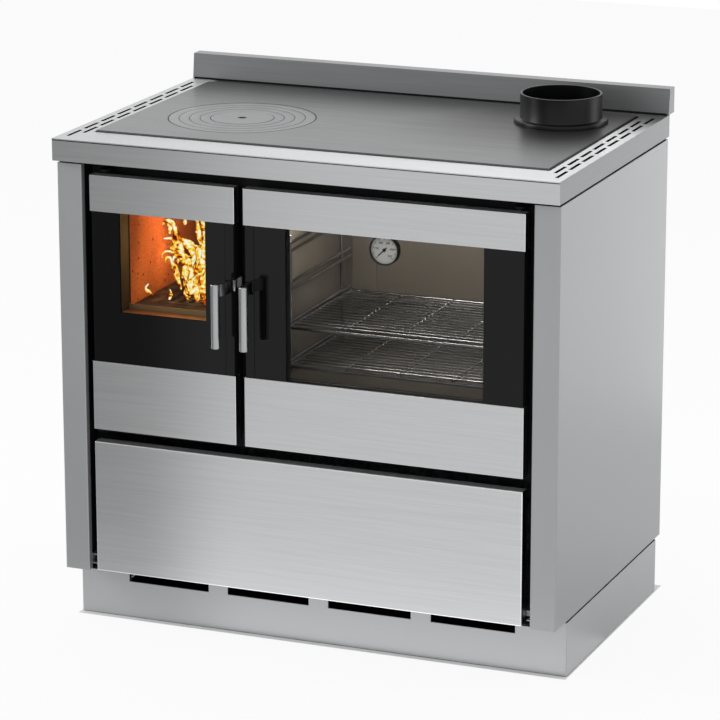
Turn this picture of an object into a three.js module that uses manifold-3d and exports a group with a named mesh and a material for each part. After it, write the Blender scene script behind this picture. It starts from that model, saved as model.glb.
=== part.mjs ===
// Wood-burning range cooker: fire and ash door on the left, oven on the right, log drawer below.
// Millimetres, +Z up, seen from the front with +X to the right and +Y to the back.
// Lengths along Y are counted from the worktop's front edge; the last lines centre the footprint.
import * as THREE from 'three';
import { mergeVertices } from 'three/addons/utils/BufferGeometryUtils.js';
import Module from 'manifold-3d';

const wasm = await Module();
wasm.setup();

// ---------------------------------------------------------------- driving dimensions
// Worktop
const WORKTOP_WIDTH = 900;
const WORKTOP_DEPTH = 571;
const WORKTOP_HEIGHT = 858;
const APRON_HEIGHT = 38;
const WORKTOP_SHEET = 2;
const WORKTOP_REVEAL_HEIGHT = 1.4;
const WORKTOP_REVEAL_DEPTH = 1;
const HOB_FRONT_RIM = 73;
const HOB_SIDE_RIM = 43;
const HOB_REAR_RIM = 36;
const VENT_PITCH = 64.5;
const VENT_LENGTH = 51.5;
const VENT_WIDTH = 6;
const VENT_ROW_SPACING = 14;
const VENT_EDGE = 16;
const VENT_FRONT_MARGIN = 28.5;

// Hob plate, rings and flue collar
const HOB_THICKNESS = 8;
const HOB_STANDS_PROUD = 3;
const HOB_JOINT = 3;
const RING_EDGE_RADII = [127, 108.5, 90.5, 72.5, 55];
const RING_LEDGE = 6;
const RING_PLAY = 0.5;
const RINGS_FROM_LEFT_EDGE = 233;
const RINGS_FROM_FRONT_EDGE = 261;
const LIFT_SLOT_LENGTH = 12;
const LIFT_SLOT_WIDTH = 6;
const COLLAR_FROM_RIGHT_EDGE = 150.5;
const COLLAR_FROM_FRONT_EDGE = 435;
const COLLAR_RADIUS = 70;
const COLLAR_WALL = 4;
const COLLAR_HEIGHT = 50;
const COLLAR_FLANGE_RADIUS = 80.5;
const COLLAR_FLANGE_THICKNESS = 7;

// Splash guard along the back of the worktop
const SPLASH_HEIGHT = 45;
const SPLASH_THICKNESS = 25;
const SPLASH_LEAN = 5;
const SPLASH_TAB_DEPTH = 20;
const SPLASH_SHEET = 1.5;

// Casing
const CASING_SHEET = 2;
const CASING_SIDE_INSET = 2.5;
const CASING_FRONT_INSET = 13;
const CASING_DEPTH = 561.5;
const CASING_FLANGE = 16;
const PILLAR_WIDTH = 45;
const PILLAR_LIP = 12;
const SHADOW_GAP = 5.5;
const REAR_PANEL_INSET = 6.5;
const REAR_VENT_COUNT = 9;
const REAR_VENT_PITCH = 72;
const REAR_VENT_LENGTH = 50;
const REAR_VENT_HEIGHT = 8;
const REAR_VENT_MARGIN = 60;

// Plinth, base and feet
const PLINTH_HEIGHT = 95;
const PLINTH_SETBACK = 60;
const PLINTH_REAR_SETBACK = 24.5;
const PLINTH_FLOOR_GAP = 1;
const PLINTH_SLOT_COUNT = 4;
const PLINTH_SLOT_PITCH = 187;
const PLINTH_SLOT_LENGTH = 151;
const PLINTH_SLOT_HEIGHT = 20;
const PLINTH_SLOT_BOTTOM = 65;
const BASE_THICKNESS = 3;
const BASE_INSET = 6.5;
const FOOT_PAD_RADIUS = 25;
const FOOT_PAD_THICKNESS = 8;
const FOOT_STEM_RADIUS = 6;
const FOOT_NUT_RADIUS = 11;
const FOOT_NUT_THICKNESS = 10;
const FOOT_INSET = 60;

// Black front frame
const FRAME_SETBACK = 47;
const FRAME_SHEET = 2.5;
const FRAME_CROSS_RAIL = 18;

// Doors
const DOOR_SIDE_GAP = 14.5;
const DOOR_MIDDLE_GAP = 16;
const DOOR_TOP_GAP = 22;
const DOOR_HEIGHT = 443;
const FIRE_DOOR_WIDTH = 265;
const TOP_BAND_HEIGHT = 62;
const LOWER_BAND_HEIGHT = 120;
const BAND_SHEET = 1.5;
const BAND_RETURN = 20;
const GLASS_RECESS = 2.5;
const GLASS_THICKNESS = 4;
const GLASS_EDGE_INSET = 2;
const GLASS_TUCK = 20;
const DOOR_FRAME_DEPTH = 24;
const DOOR_FRAME_INSET = 2.5;
const STILE_WIDTH = 18;
const SEAL_CHANNEL_DEPTH = 7.1;
const GASKET_WIDTH = 12;
const FIRE_WINDOW_LEFT_MARGIN = 53;
const FIRE_WINDOW_WIDTH = 158;
const FIRE_WINDOW_ABOVE_BAND = 89;
const OVEN_WINDOW_SIDE_MARGIN = 73;
const WINDOW_TUCK = 12;
const OVEN_WINDOW_TUCK = 5;
const TRIM_SHEET = 2;
const TRIM_DEPTH = 31;
const TRIM_SILL = 8;
const INNER_GLASS_THICKNESS = 4;
const INNER_GLASS_OVERLAP = 12;

// Hinges
const PIVOT_FROM_EDGE = 18;
const PIVOT_FROM_FRONT = 25;
const HINGE_PIN_RADIUS = 4;
const HINGE_PIN_ENGAGEMENT = 16;
const HINGE_PIN_PLAY = 0.4;
const HINGE_LEAF = 4;
const HINGE_LEAF_WIDTH = 18;
const HINGE_LEAF_CLEARANCE = 3;

// Handles
const HANDLE_RADIUS = 8;
const HANDLE_LENGTH = 110;
const HANDLE_REACH = 42.5;
const HANDLE_TOP_ABOVE_SILL = 78;
const HANDLE_FROM_EDGE = 17.5;
const HANDLE_EDGE_BREAK = 1.2;
const STRAP_HEIGHT = 20;
const STRAP_THICKNESS = 5;
const STRAP_TOP_INSET = 3;
const LATCH_PIVOT_FROM_EDGE = 9;
const LATCH_PIVOT_BEHIND_GLASS = 13;
const LATCH_PIN_RADIUS = 3;
const LATCH_PLAY = 0.5;
const LATCH_POCKET_DEPTH = 16.8;
const LATCH_PIN_ENGAGEMENT = 7;
const LATCH_BOSS_RADIUS = 6.5;
const LATCH_TAIL_LENGTH = 24;
const LATCH_NOSE_REACH = 7;
const KEEPER_WIDTH = 16;
const KEEPER_DEPTH = 6;

// Thermometer
const DIAL_RADIUS = 26;
const DIAL_BELOW_BAND = 22;
const DIAL_RIM = 3;
const DIAL_DEPTH = 12;
const DIAL_WELL = 4;
const PROBE_RADIUS = 3;
const PROBE_LENGTH = 40;
const NEEDLE_LENGTH = 17;
const NEEDLE_TAIL = 6;
const NEEDLE_WIDTH = 2;
const NEEDLE_THICKNESS = 0.8;
const NEEDLE_REST_ANGLE = 225;

// Log drawer
const DRAWER_BOTTOM_GAP = 2.2;
const DRAWER_TOP_GAP = 22;
const DRAWER_BIN_DEPTH = 480;
const DRAWER_BIN_BELOW_FRONT_TOP = 35.3;
const DRAWER_BIN_SHEET = 2;
const DRAWER_BIN_SIDE_INSET = 4;
const RUNNER_HEIGHT = 18;
const RUNNER_WIDTH = 12;
const RUNNER_SHEET = 2;
const RUNNER_BASE_GAP = 9;
const RUNNER_FRONT_INSET = 13;
const RUNNER_PLAY = 2;

// Stove shell, firebox and ash space
const SHELL_SHEET = 4;
const SHELL_EDGE_INSET = 4;
const SHELL_BOTTOM_ABOVE_DRAWER = 12;
const SHELL_LINTEL_HEIGHT = 50;
const PARTITION_FROM_MIDDLE_GAP = 7;
const PARTITION_BELOW_HOB = 73;
const BRICK_THICKNESS = 35;
const BRICK_AIR_GAP = 9;
const BRICK_JOINT = 0.6;
const FIRE_DEPTH = 367;
const FIRE_BED_THICKNESS = 12;
const FIRE_BED_BELOW_WINDOW = 8;
const BED_LEDGE = 15;
const BAFFLE_THICKNESS = 10;
const BAFFLE_BELOW_HOB = 62.4;
const BAFFLE_FRONT_OPENING = 90;
const FIRE_MOUTH_ABOVE_GLASS = 8;
const FIRE_MOUTH_SIDE = 3;
const GRATE_WIDTH = 150;
const GRATE_DEPTH = 230;
const GRATE_SLOT_COUNT = 7;
const GRATE_SLOT_WIDTH = 9;
const GRATE_BORDER = 14;
const GRATE_FIT = 1.5;
const ASH_MOUTH_HEIGHT = 100;
const ASH_MOUTH_SILL = 22;
const ASH_PAN_HEIGHT = 70;
const ASH_PAN_DEPTH = 330;
const ASH_PAN_SHEET = 2;
const ASH_PAN_CLEARANCE = 5;
const AIR_SLIDE_WIDTH = 140;
const AIR_SLIDE_HEIGHT = 24;
const AIR_SLIDE_THICKNESS = 2;
const AIR_HOLE_COUNT = 3;
const AIR_HOLE_PITCH = 40;
const AIR_HOLE_WIDTH = 18;
const AIR_HOLE_HEIGHT = 10;
const AIR_KNOB_RADIUS = 7;
const AIR_KNOB_LENGTH = 9;

// Oven
const OVEN_SIDE_MARGIN = 42.5;
const OVEN_TOP_ABOVE_GLASS = 24;
const OVEN_DEPTH = 322;
const OVEN_SHEET = 2;
const OVEN_FLOOR_BELOW_BAND = 7;
const OVEN_EMBOSS_MARGIN = 45;
const OVEN_EMBOSS_DEPTH = 5;
const LADDER_WIRE_RADIUS = 2.5;
const LADDER_INSET = 10;
const LADDER_LEVELS = 4;
const LADDER_TOP_ROOM = 67;
const LADDER_PAIR_SPACING = 13;
const LADDER_FIRST_LEVEL = 24;
const LADDER_FRONT_INSET = 8;
const LADDER_REAR_INSET = 34;
const LADDER_POST_INSET = 28;
const RACK_WIRE_RADIUS = 1.6;
const RACK_FRAME_RADIUS = 3;
const RACK_SIDE_PLAY = 2;
const RACK_WIRE_COUNT = 15;
const RACK_RIB_COUNT = 3;
const RACK_LEVELS = [0, 1];

// Gap kept between pieces that touch
const SEAT = 0.3;

// ---------------------------------------------------------------- geometry helpers
function asSolid(geometry) {
  const bare = geometry.clone();
  bare.deleteAttribute('normal');
  bare.deleteAttribute('uv');
  const merged = mergeVertices(bare, 1e-4);
  const mesh = new wasm.Mesh({
    numProp: 3,
    vertProperties: new Float32Array(merged.attributes.position.array),
    triVerts: new Uint32Array(merged.index.array),
  });
  return new wasm.Manifold(mesh);
}

function asGeometry(solid) {
  const mesh = solid.getMesh();
  const geometry = new THREE.BufferGeometry();
  geometry.setAttribute('position', new THREE.BufferAttribute(mesh.vertProperties, 3));
  geometry.setIndex(new THREE.BufferAttribute(mesh.triVerts, 1));
  geometry.computeVertexNormals();
  return geometry;
}

function join(geometries) {
  const solids = geometries.map(asSolid);
  return asGeometry(solids.reduce((sum, next) => sum.add(next)));
}

function cut(geometry, tools) {
  const removed = tools.map(asSolid);
  return asGeometry(removed.reduce((rest, tool) => rest.subtract(tool), asSolid(geometry)));
}

// Box given by its two corners on each axis
function block([x0, x1], [y0, y1], [z0, z1]) {
  const geometry = new THREE.BoxGeometry(x1 - x0, y1 - y0, z1 - z0);
  return geometry.translate((x0 + x1) / 2, (y0 + y1) / 2, (z0 + z1) / 2);
}

function outline(points) {
  return new THREE.Shape(points.map(([u, v]) => new THREE.Vector2(u, v)));
}

// A flat shape drawn in X and Y, made thick along Z
function prismZ(shape, [z0, z1], curveSegments = 8) {
  const options = { depth: z1 - z0, bevelEnabled: false, curveSegments };
  return new THREE.ExtrudeGeometry(shape, options).translate(0, 0, z0);
}

// A section drawn in Y and Z, made long along X
function prismX(shape, [x0, x1]) {
  const options = { depth: x1 - x0, bevelEnabled: false };
  const geometry = new THREE.ExtrudeGeometry(shape, options);
  geometry.rotateY(Math.PI / 2).rotateX(Math.PI / 2);
  return geometry.translate(x0, 0, 0);
}

// A closed profile of radius and height, turned about Z
function turned(profile, segments) {
  const points = profile.map(([radius, z]) => new THREE.Vector2(radius, z));
  const geometry = new THREE.LatheGeometry(points, segments);
  return geometry.rotateX(Math.PI / 2);
}

// A round rod along Z, Y or X
function rodZ(radius, x, y, [z0, z1], sides = 12) {
  const geometry = new THREE.CylinderGeometry(radius, radius, z1 - z0, sides);
  return geometry.rotateX(Math.PI / 2).translate(x, y, (z0 + z1) / 2);
}

function rodY(radius, x, z, [y0, y1], sides = 8) {
  const geometry = new THREE.CylinderGeometry(radius, radius, y1 - y0, sides);
  return geometry.translate(x, (y0 + y1) / 2, z);
}

function rodX(radius, y, z, [x0, x1], sides = 8) {
  const geometry = new THREE.CylinderGeometry(radius, radius, x1 - x0, sides);
  return geometry.rotateZ(Math.PI / 2).translate((x0 + x1) / 2, y, z);
}

// Evenly spaced values with the given pitch, centred on a middle value
function spread(count, pitch, middle) {
  return Array.from({ length: count }, (_, index) => middle + (index - (count - 1) / 2) * pitch);
}

// ---------------------------------------------------------------- materials
function metalFinish(color, roughness, metalness) {
  return new THREE.MeshStandardMaterial({ color, roughness, metalness });
}

const brushedSteel = metalFinish('#c2c3c5', 0.35, 0.9);
const paintedSteel = metalFinish('#a3a4a6', 0.5, 0.4);
const blackSteel = metalFinish('#17171a', 0.6, 0.3);
const hobSteel = metalFinish('#84858a', 0.45, 0.6);
const castIron = metalFinish('#3b3a3a', 0.75, 0.3);
const greyGalvanised = metalFinish('#9fa3a6', 0.5, 0.8);
const enamel = metalFinish('#4a4640', 0.4, 0.1);
const chromeWire = metalFinish('#b9bbbd', 0.2, 1);
const vermiculite = metalFinish('#b98a5c', 0.95, 0);
const sealRope = metalFinish('#5a5a58', 0.95, 0);
const warmSteel = metalFinish('#a8977a', 0.4, 0.8);
const dialWhite = metalFinish('#e9e9e4', 0.5, 0);
const needleBlack = metalFinish('#111111', 0.5, 0);
const footRubber = metalFinish('#2b2b2b', 0.8, 0);
const clearGlass = metalFinish('#1d1f21', 0.05, 0);
clearGlass.transparent = true;
clearGlass.opacity = 0.35;

const cooker = new THREE.Group();

function addPiece(name, geometry, material) {
  const mesh = new THREE.Mesh(geometry, material);
  mesh.name = name;
  cooker.add(mesh);
}

// ---------------------------------------------------------------- shared planes
const worktopHalf = WORKTOP_WIDTH / 2;
const worktopPlateBottom = WORKTOP_HEIGHT - WORKTOP_SHEET;
const apronBottom = WORKTOP_HEIGHT - APRON_HEIGHT;
const casingHalf = worktopHalf - CASING_SIDE_INSET;
const casingRear = CASING_FRONT_INSET + CASING_DEPTH;
const casingTop = apronBottom - SHADOW_GAP;
const pillarInner = casingHalf - PILLAR_WIDTH;
const baseBottom = PLINTH_HEIGHT + SEAT;
const baseTop = baseBottom + BASE_THICKNESS;
const casingBottom = baseTop + SEAT;
const frameFront = CASING_FRONT_INSET + FRAME_SETBACK;
const frameRear = frameFront + FRAME_SHEET;
const frameHalf = pillarInner + CASING_SHEET + SEAT + FRAME_SHEET;
const doorHalf = pillarInner - DOOR_SIDE_GAP;
const doorTop = apronBottom - DOOR_TOP_GAP;
const doorBottom = doorTop - DOOR_HEIGHT;
const drawerTop = doorBottom - DRAWER_TOP_GAP;
const drawerBottom = baseTop + DRAWER_BOTTOM_GAP;
const bandFront = CASING_FRONT_INSET;
const glassFront = bandFront + GLASS_RECESS;
const glassRear = glassFront + GLASS_THICKNESS;
const doorFrameFront = glassRear + SEAT;
const doorFrameRear = doorFrameFront + DOOR_FRAME_DEPTH;
const hobTop = WORKTOP_HEIGHT + HOB_STANDS_PROUD;
const hobBottom = hobTop - HOB_THICKNESS;
const hobHalf = worktopHalf - HOB_SIDE_RIM - HOB_JOINT;
const hobFront = HOB_FRONT_RIM + HOB_JOINT;
const hobRear = WORKTOP_DEPTH - HOB_REAR_RIM - HOB_JOINT;
const shellHalf = hobHalf - SHELL_EDGE_INSET;
const shellFront = frameRear + SEAT;
const shellRear = hobRear - SHELL_EDGE_INSET;
const shellBottom = drawerTop + SHELL_BOTTOM_ABOVE_DRAWER;
const shellTop = hobBottom - SEAT;
const fireDoorLeft = -doorHalf;
const fireDoorRight = fireDoorLeft + FIRE_DOOR_WIDTH;
const ovenDoorLeft = fireDoorRight + DOOR_MIDDLE_GAP;
const ovenDoorRight = doorHalf;
const middleGapCentre = (fireDoorRight + ovenDoorLeft) / 2;
const lowerBandTop = doorBottom + LOWER_BAND_HEIGHT;
const topBandBottom = doorTop - TOP_BAND_HEIGHT;

// ---------------------------------------------------------------- plinth, feet and base
function makePlinth() {
  const rear = casingRear - PLINTH_REAR_SETBACK;
  const front = CASING_FRONT_INSET + PLINTH_SETBACK;
  const height = [PLINTH_FLOOR_GAP, PLINTH_HEIGHT];
  const inner = casingHalf - CASING_SHEET;
  const outer = block([-casingHalf, casingHalf], [front, rear], height);
  const hollow = block([-inner, inner], [front + CASING_SHEET, rear + 1], [-1, PLINTH_HEIGHT + 1]);
  const slots = spread(PLINTH_SLOT_COUNT, PLINTH_SLOT_PITCH, 0).map((x) => block(
    [x - PLINTH_SLOT_LENGTH / 2, x + PLINTH_SLOT_LENGTH / 2],
    [front - 1, front + CASING_SHEET + 1],
    [PLINTH_SLOT_BOTTOM, PLINTH_SLOT_BOTTOM + PLINTH_SLOT_HEIGHT],
  ));
  addPiece('plinth', cut(outer, [hollow, ...slots]), paintedSteel);
}

function makeFeet() {
  const nutBottom = baseBottom - SEAT - FOOT_NUT_THICKNESS;
  const profile = [
    [0, 0], [FOOT_PAD_RADIUS, 0], [FOOT_PAD_RADIUS, FOOT_PAD_THICKNESS * 0.6],
    [FOOT_STEM_RADIUS, FOOT_PAD_THICKNESS], [FOOT_STEM_RADIUS, nutBottom],
    [FOOT_NUT_RADIUS, nutBottom], [FOOT_NUT_RADIUS, nutBottom + FOOT_NUT_THICKNESS],
    [0, nutBottom + FOOT_NUT_THICKNESS],
  ];
  const columns = { left: FOOT_INSET - casingHalf, right: casingHalf - FOOT_INSET };
  const frontRow = CASING_FRONT_INSET + PLINTH_SETBACK + FOOT_INSET;
  const rows = { front: frontRow, rear: casingRear - PLINTH_REAR_SETBACK - FOOT_INSET };
  for (const [row, y] of Object.entries(rows)) {
    for (const [column, x] of Object.entries(columns)) {
      addPiece(`foot_${row}_${column}`, turned(profile, 12).translate(x, y, 0), footRubber);
    }
  }
}

function makeBasePlate() {
  const half = casingHalf - BASE_INSET;
  const depth = [CASING_FRONT_INSET + BASE_INSET + PILLAR_LIP, casingRear - BASE_INSET];
  addPiece('base_plate', block([-half, half], depth, [baseBottom, baseTop]), greyGalvanised);
}

// ---------------------------------------------------------------- casing
// Each side panel is one folded sheet: pillar lip, pillar face, side and rear flange
function makeSidePanels() {
  const lipRear = CASING_FRONT_INSET + PILLAR_LIP;
  const flangeInner = casingHalf - CASING_FLANGE;
  const section = outline([
    [pillarInner, CASING_FRONT_INSET], [casingHalf, CASING_FRONT_INSET],
    [casingHalf, casingRear], [flangeInner, casingRear],
    [flangeInner, casingRear - CASING_SHEET],
    [casingHalf - CASING_SHEET, casingRear - CASING_SHEET],
    [casingHalf - CASING_SHEET, CASING_FRONT_INSET + CASING_SHEET],
    [pillarInner + CASING_SHEET, CASING_FRONT_INSET + CASING_SHEET],
    [pillarInner + CASING_SHEET, lipRear], [pillarInner, lipRear],
  ]);
  const right = prismZ(section, [casingBottom, casingTop]);
  const left = right.clone().rotateZ(Math.PI).scale(1, -1, 1);
  flipWinding(left);
  addPiece('side_panel_right', right, paintedSteel);
  addPiece('side_panel_left', left, paintedSteel);
}

// A mirrored geometry has its faces turned inside out until the corners swap
function flipWinding(geometry) {
  const { array } = geometry.attributes.position;
  for (let i = 0; i < array.length; i += 9) {
    for (let axis = 0; axis < 3; axis += 1) {
      const kept = array[i + 3 + axis];
      array[i + 3 + axis] = array[i + 6 + axis];
      array[i + 6 + axis] = kept;
    }
  }
}

function makeRearPanel() {
  const half = casingHalf - CASING_SHEET - SEAT;
  const rear = casingRear - REAR_PANEL_INSET;
  const panel = block([-half, half], [rear - CASING_SHEET, rear], [casingBottom, worktopPlateBottom - SEAT]);
  const rows = [casingBottom + REAR_VENT_MARGIN, casingTop - REAR_VENT_MARGIN];
  const vents = rows.flatMap((z) => spread(REAR_VENT_COUNT, REAR_VENT_PITCH, 0).map((x) => block(
    [x - REAR_VENT_LENGTH / 2, x + REAR_VENT_LENGTH / 2],
    [rear - CASING_SHEET - 1, rear + 1],
    [z - REAR_VENT_HEIGHT / 2, z + REAR_VENT_HEIGHT / 2],
  )));
  addPiece('rear_panel', cut(panel, vents), greyGalvanised);
}

// Mouths of the firebox, ash space and oven, shared by the frame and what stands behind it
const fireWindowLeft = fireDoorLeft + FIRE_WINDOW_LEFT_MARGIN;
const fireWindowRight = fireWindowLeft + FIRE_WINDOW_WIDTH;
const fireWindowBottom = lowerBandTop + FIRE_WINDOW_ABOVE_BAND;
const fireMouthX = [fireWindowLeft - FIRE_MOUTH_SIDE, fireWindowRight + FIRE_MOUTH_SIDE];
const fireMouthZ = [fireWindowBottom - FIRE_BED_BELOW_WINDOW, topBandBottom + FIRE_MOUTH_ABOVE_GLASS];
const ashMouthZ = [doorBottom + ASH_MOUTH_SILL, doorBottom + ASH_MOUTH_SILL + ASH_MOUTH_HEIGHT];
const ovenCentre = (ovenDoorLeft + ovenDoorRight) / 2;
const ovenX = [ovenDoorLeft + OVEN_SIDE_MARGIN, ovenDoorRight - OVEN_SIDE_MARGIN];
const ovenZ = [lowerBandTop - OVEN_FLOOR_BELOW_BAND, topBandBottom + OVEN_TOP_ABOVE_GLASS];
const airZ = (ashMouthZ[1] + fireMouthZ[0]) / 2;
const fireMouthCentre = (fireMouthX[0] + fireMouthX[1]) / 2;
const latchZ = fireWindowBottom + HANDLE_TOP_ABOVE_SILL - STRAP_TOP_INSET - STRAP_HEIGHT / 2;

function airHoles(y, clearance) {
  return spread(AIR_HOLE_COUNT, AIR_HOLE_PITCH, fireMouthCentre).map((x) => block(
    [x - AIR_HOLE_WIDTH / 2 - clearance, x + AIR_HOLE_WIDTH / 2 + clearance],
    y,
    [airZ - AIR_HOLE_HEIGHT / 2 - clearance, airZ + AIR_HOLE_HEIGHT / 2 + clearance],
  ));
}

// Folded frame behind the doors: a plate with the mouths, and a cheek along each side
function makeFrontFrame() {
  const front = CASING_FRONT_INSET + CASING_SHEET + SEAT;
  const height = [casingBottom, shellTop];
  const outer = block([-frameHalf, frameHalf], [front, frameRear], height);
  const inner = frameHalf - FRAME_SHEET;
  const hollow = block([-inner, inner], [front - 1, frameFront], [0, WORKTOP_HEIGHT]);
  const through = [frameFront - 1, frameRear + 1];
  const mouths = [
    block(fireMouthX, through, fireMouthZ),
    block(fireMouthX, through, ashMouthZ),
    block(ovenX, through, ovenZ),
    block([-inner, inner], through, [casingBottom - 1, doorBottom - FRAME_CROSS_RAIL]),
    ...airHoles(through, 0),
  ];
  const keeper = block(
    [middleGapCentre - KEEPER_WIDTH / 2, middleGapCentre + KEEPER_WIDTH / 2],
    [frameFront - KEEPER_DEPTH, frameFront + 1],
    [latchZ - STRAP_HEIGHT / 2, latchZ + STRAP_HEIGHT / 2],
  );
  addPiece('front_frame', join([cut(outer, [hollow, ...mouths]), keeper]), blackSteel);
}

// ---------------------------------------------------------------- worktop and splash guard
// Top and aprons in one piece, with a narrow groove where the top meets the front apron
function makeWorktop() {
  const through = [apronBottom - 1, WORKTOP_HEIGHT + 1];
  const openingHalf = hobHalf + HOB_JOINT;
  const opening = block([-openingHalf, openingHalf], [hobFront - HOB_JOINT, hobRear + HOB_JOINT], through);
  const outerCount = Math.floor((WORKTOP_DEPTH - VENT_FRONT_MARGIN - VENT_LENGTH) / VENT_PITCH) + 1;
  const vents = [];
  for (const side of [-1, 1]) {
    for (const row of [0, 1]) {
      const x = side * (worktopHalf - VENT_EDGE - row * VENT_ROW_SPACING);
      for (let slot = 0; slot < outerCount - row; slot += 1) {
        const y = VENT_FRONT_MARGIN + (slot + row / 2) * VENT_PITCH;
        vents.push(block([x - VENT_WIDTH / 2, x + VENT_WIDTH / 2], [y, y + VENT_LENGTH], through));
      }
    }
  }
  const outer = block([-worktopHalf, worktopHalf], [0, WORKTOP_DEPTH], [apronBottom, WORKTOP_HEIGHT]);
  const room = block(
    [WORKTOP_SHEET - worktopHalf, worktopHalf - WORKTOP_SHEET],
    [WORKTOP_SHEET, WORKTOP_DEPTH + 1],
    [apronBottom - 1, worktopPlateBottom],
  );
  const reveal = block(
    [-worktopHalf - 1, worktopHalf + 1], [-1, WORKTOP_REVEAL_DEPTH],
    [worktopPlateBottom - WORKTOP_REVEAL_HEIGHT, worktopPlateBottom],
  );
  addPiece('worktop', cut(outer, [room, opening, reveal, ...vents]), brushedSteel);
}

// Hollow folded strip, open underneath, with a tab down the back edge of the worktop
function makeSplashGuard() {
  const bottom = WORKTOP_HEIGHT + SEAT;
  const top = WORKTOP_HEIGHT + SPLASH_HEIGHT;
  const front = WORKTOP_DEPTH - SPLASH_LEAN;
  const rear = front + SPLASH_THICKNESS + SPLASH_LEAN;
  const outer = prismX(outline([
    [front, bottom], [rear, bottom], [rear, top], [front + SPLASH_LEAN, top],
  ]), [-worktopHalf, worktopHalf]);
  const hollow = prismX(outline([
    [front + SPLASH_SHEET, bottom - 1], [rear - SPLASH_SHEET, bottom - 1],
    [rear - SPLASH_SHEET, top - SPLASH_SHEET], [front + SPLASH_LEAN + SPLASH_SHEET, top - SPLASH_SHEET],
  ]), [SPLASH_SHEET - worktopHalf, worktopHalf - SPLASH_SHEET]);
  const tabFront = casingRear + SEAT;
  const tabHalf = casingHalf - PILLAR_WIDTH;
  const tab = block([-tabHalf, tabHalf], [tabFront, tabFront + SPLASH_SHEET], [bottom - SPLASH_TAB_DEPTH, bottom + SPLASH_SHEET]);
  const shelf = block([-tabHalf, tabHalf], [tabFront, rear - SPLASH_SHEET / 2], [bottom, bottom + SPLASH_SHEET]);
  addPiece('splash_guard', join([cut(outer, [hollow]), tab, shelf]), brushedSteel);
}

// ---------------------------------------------------------------- hob
const ringsX = RINGS_FROM_LEFT_EDGE - worktopHalf;
const collarX = worktopHalf - COLLAR_FROM_RIGHT_EDGE;
const ringsAt = [ringsX, RINGS_FROM_FRONT_EDGE];
const collarAt = [collarX, COLLAR_FROM_FRONT_EDGE];
const ringMiddle = hobTop - HOB_THICKNESS / 2;

// The upper half of every ring overlaps the ledge on the lower half of the next one out
function makeHob() {
  const plate = block([-hobHalf, hobHalf], [hobFront, hobRear], [hobBottom, hobTop]);
  const upperBore = rodZ(RING_EDGE_RADII[0], ...ringsAt, [ringMiddle, hobTop + 1], 64);
  const lowerBore = rodZ(RING_EDGE_RADII[0] - RING_LEDGE, ...ringsAt, [hobBottom - 1, ringMiddle + 1], 64);
  const flueBore = rodZ(COLLAR_RADIUS - COLLAR_WALL, ...collarAt, [hobBottom - 1, hobTop + 1], 40);
  addPiece('hob_plate', cut(plate, [upperBore, lowerBore, flueBore]), hobSteel);

  RING_EDGE_RADII.slice(0, -1).forEach((edge, index) => {
    const bore = RING_EDGE_RADII[index + 1];
    const profile = [
      [bore - RING_LEDGE, hobBottom], [edge - RING_LEDGE - RING_PLAY, hobBottom],
      [edge - RING_LEDGE - RING_PLAY, ringMiddle + SEAT], [edge - RING_PLAY, ringMiddle + SEAT],
      [edge - RING_PLAY, hobTop], [bore, hobTop], [bore, ringMiddle], [bore - RING_LEDGE, ringMiddle],
      [bore - RING_LEDGE, hobBottom],
    ];
    addPiece(`hob_ring_${index + 1}`, turned(profile, 48).translate(...ringsAt, 0), hobSteel);
  });

  const edge = RING_EDGE_RADII.at(-1);
  const discProfile = [
    [0, hobBottom], [edge - RING_LEDGE - RING_PLAY, hobBottom],
    [edge - RING_LEDGE - RING_PLAY, ringMiddle + SEAT], [edge - RING_PLAY, ringMiddle + SEAT],
    [edge - RING_PLAY, hobTop], [0, hobTop],
  ];
  const disc = turned(discProfile, 48).translate(...ringsAt, 0);
  const lifterSlot = block(
    [ringsX - LIFT_SLOT_LENGTH / 2, ringsX + LIFT_SLOT_LENGTH / 2],
    [RINGS_FROM_FRONT_EDGE - LIFT_SLOT_WIDTH / 2, RINGS_FROM_FRONT_EDGE + LIFT_SLOT_WIDTH / 2],
    [hobBottom - 1, hobTop + 1],
  );
  addPiece('hob_centre_disc', cut(disc, [lifterSlot]), hobSteel);
}

function makeFlueCollar() {
  const bottom = hobTop + SEAT;
  const bore = COLLAR_RADIUS - COLLAR_WALL;
  const flangeTop = bottom + COLLAR_FLANGE_THICKNESS;
  const bead = COLLAR_FLANGE_THICKNESS / 3;
  const profile = [
    [bore, bottom], [COLLAR_FLANGE_RADIUS, bottom], [COLLAR_FLANGE_RADIUS, flangeTop - bead],
    [COLLAR_FLANGE_RADIUS - bead, flangeTop], [COLLAR_RADIUS, flangeTop],
    [COLLAR_RADIUS, bottom + COLLAR_HEIGHT], [bore, bottom + COLLAR_HEIGHT], [bore, bottom],
  ];
  addPiece('flue_collar', turned(profile, 48).translate(...collarAt, 0), blackSteel);
}

// ---------------------------------------------------------------- stove shell and firebox
const shellInner = shellHalf - SHELL_SHEET;
const partitionRight = middleGapCentre + PARTITION_FROM_MIDDLE_GAP + SHELL_SHEET;
const partitionLeft = partitionRight - SHELL_SHEET;
const brickLeft = [-shellInner + BRICK_AIR_GAP, -shellInner + BRICK_AIR_GAP + BRICK_THICKNESS];
const brickRight = [partitionLeft - SEAT - BRICK_THICKNESS, partitionLeft - SEAT];
const bedTop = fireMouthZ[0];
const bedBottom = bedTop - FIRE_BED_THICKNESS;
const baffleTop = hobBottom - BAFFLE_BELOW_HOB;
const baffleZ = [baffleTop - BAFFLE_THICKNESS, baffleTop];
const brickZ = [bedTop + SEAT, baffleZ[0] - SEAT];
const fireRear = shellFront + FIRE_DEPTH;
const bedX = [-shellInner + SEAT, partitionLeft - SEAT];
const bedY = [shellFront, fireRear + BRICK_THICKNESS + SEAT];
const fireCentre = (brickLeft[1] + brickRight[0]) / 2;
const grateY = (shellFront + fireRear) / 2;

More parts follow.
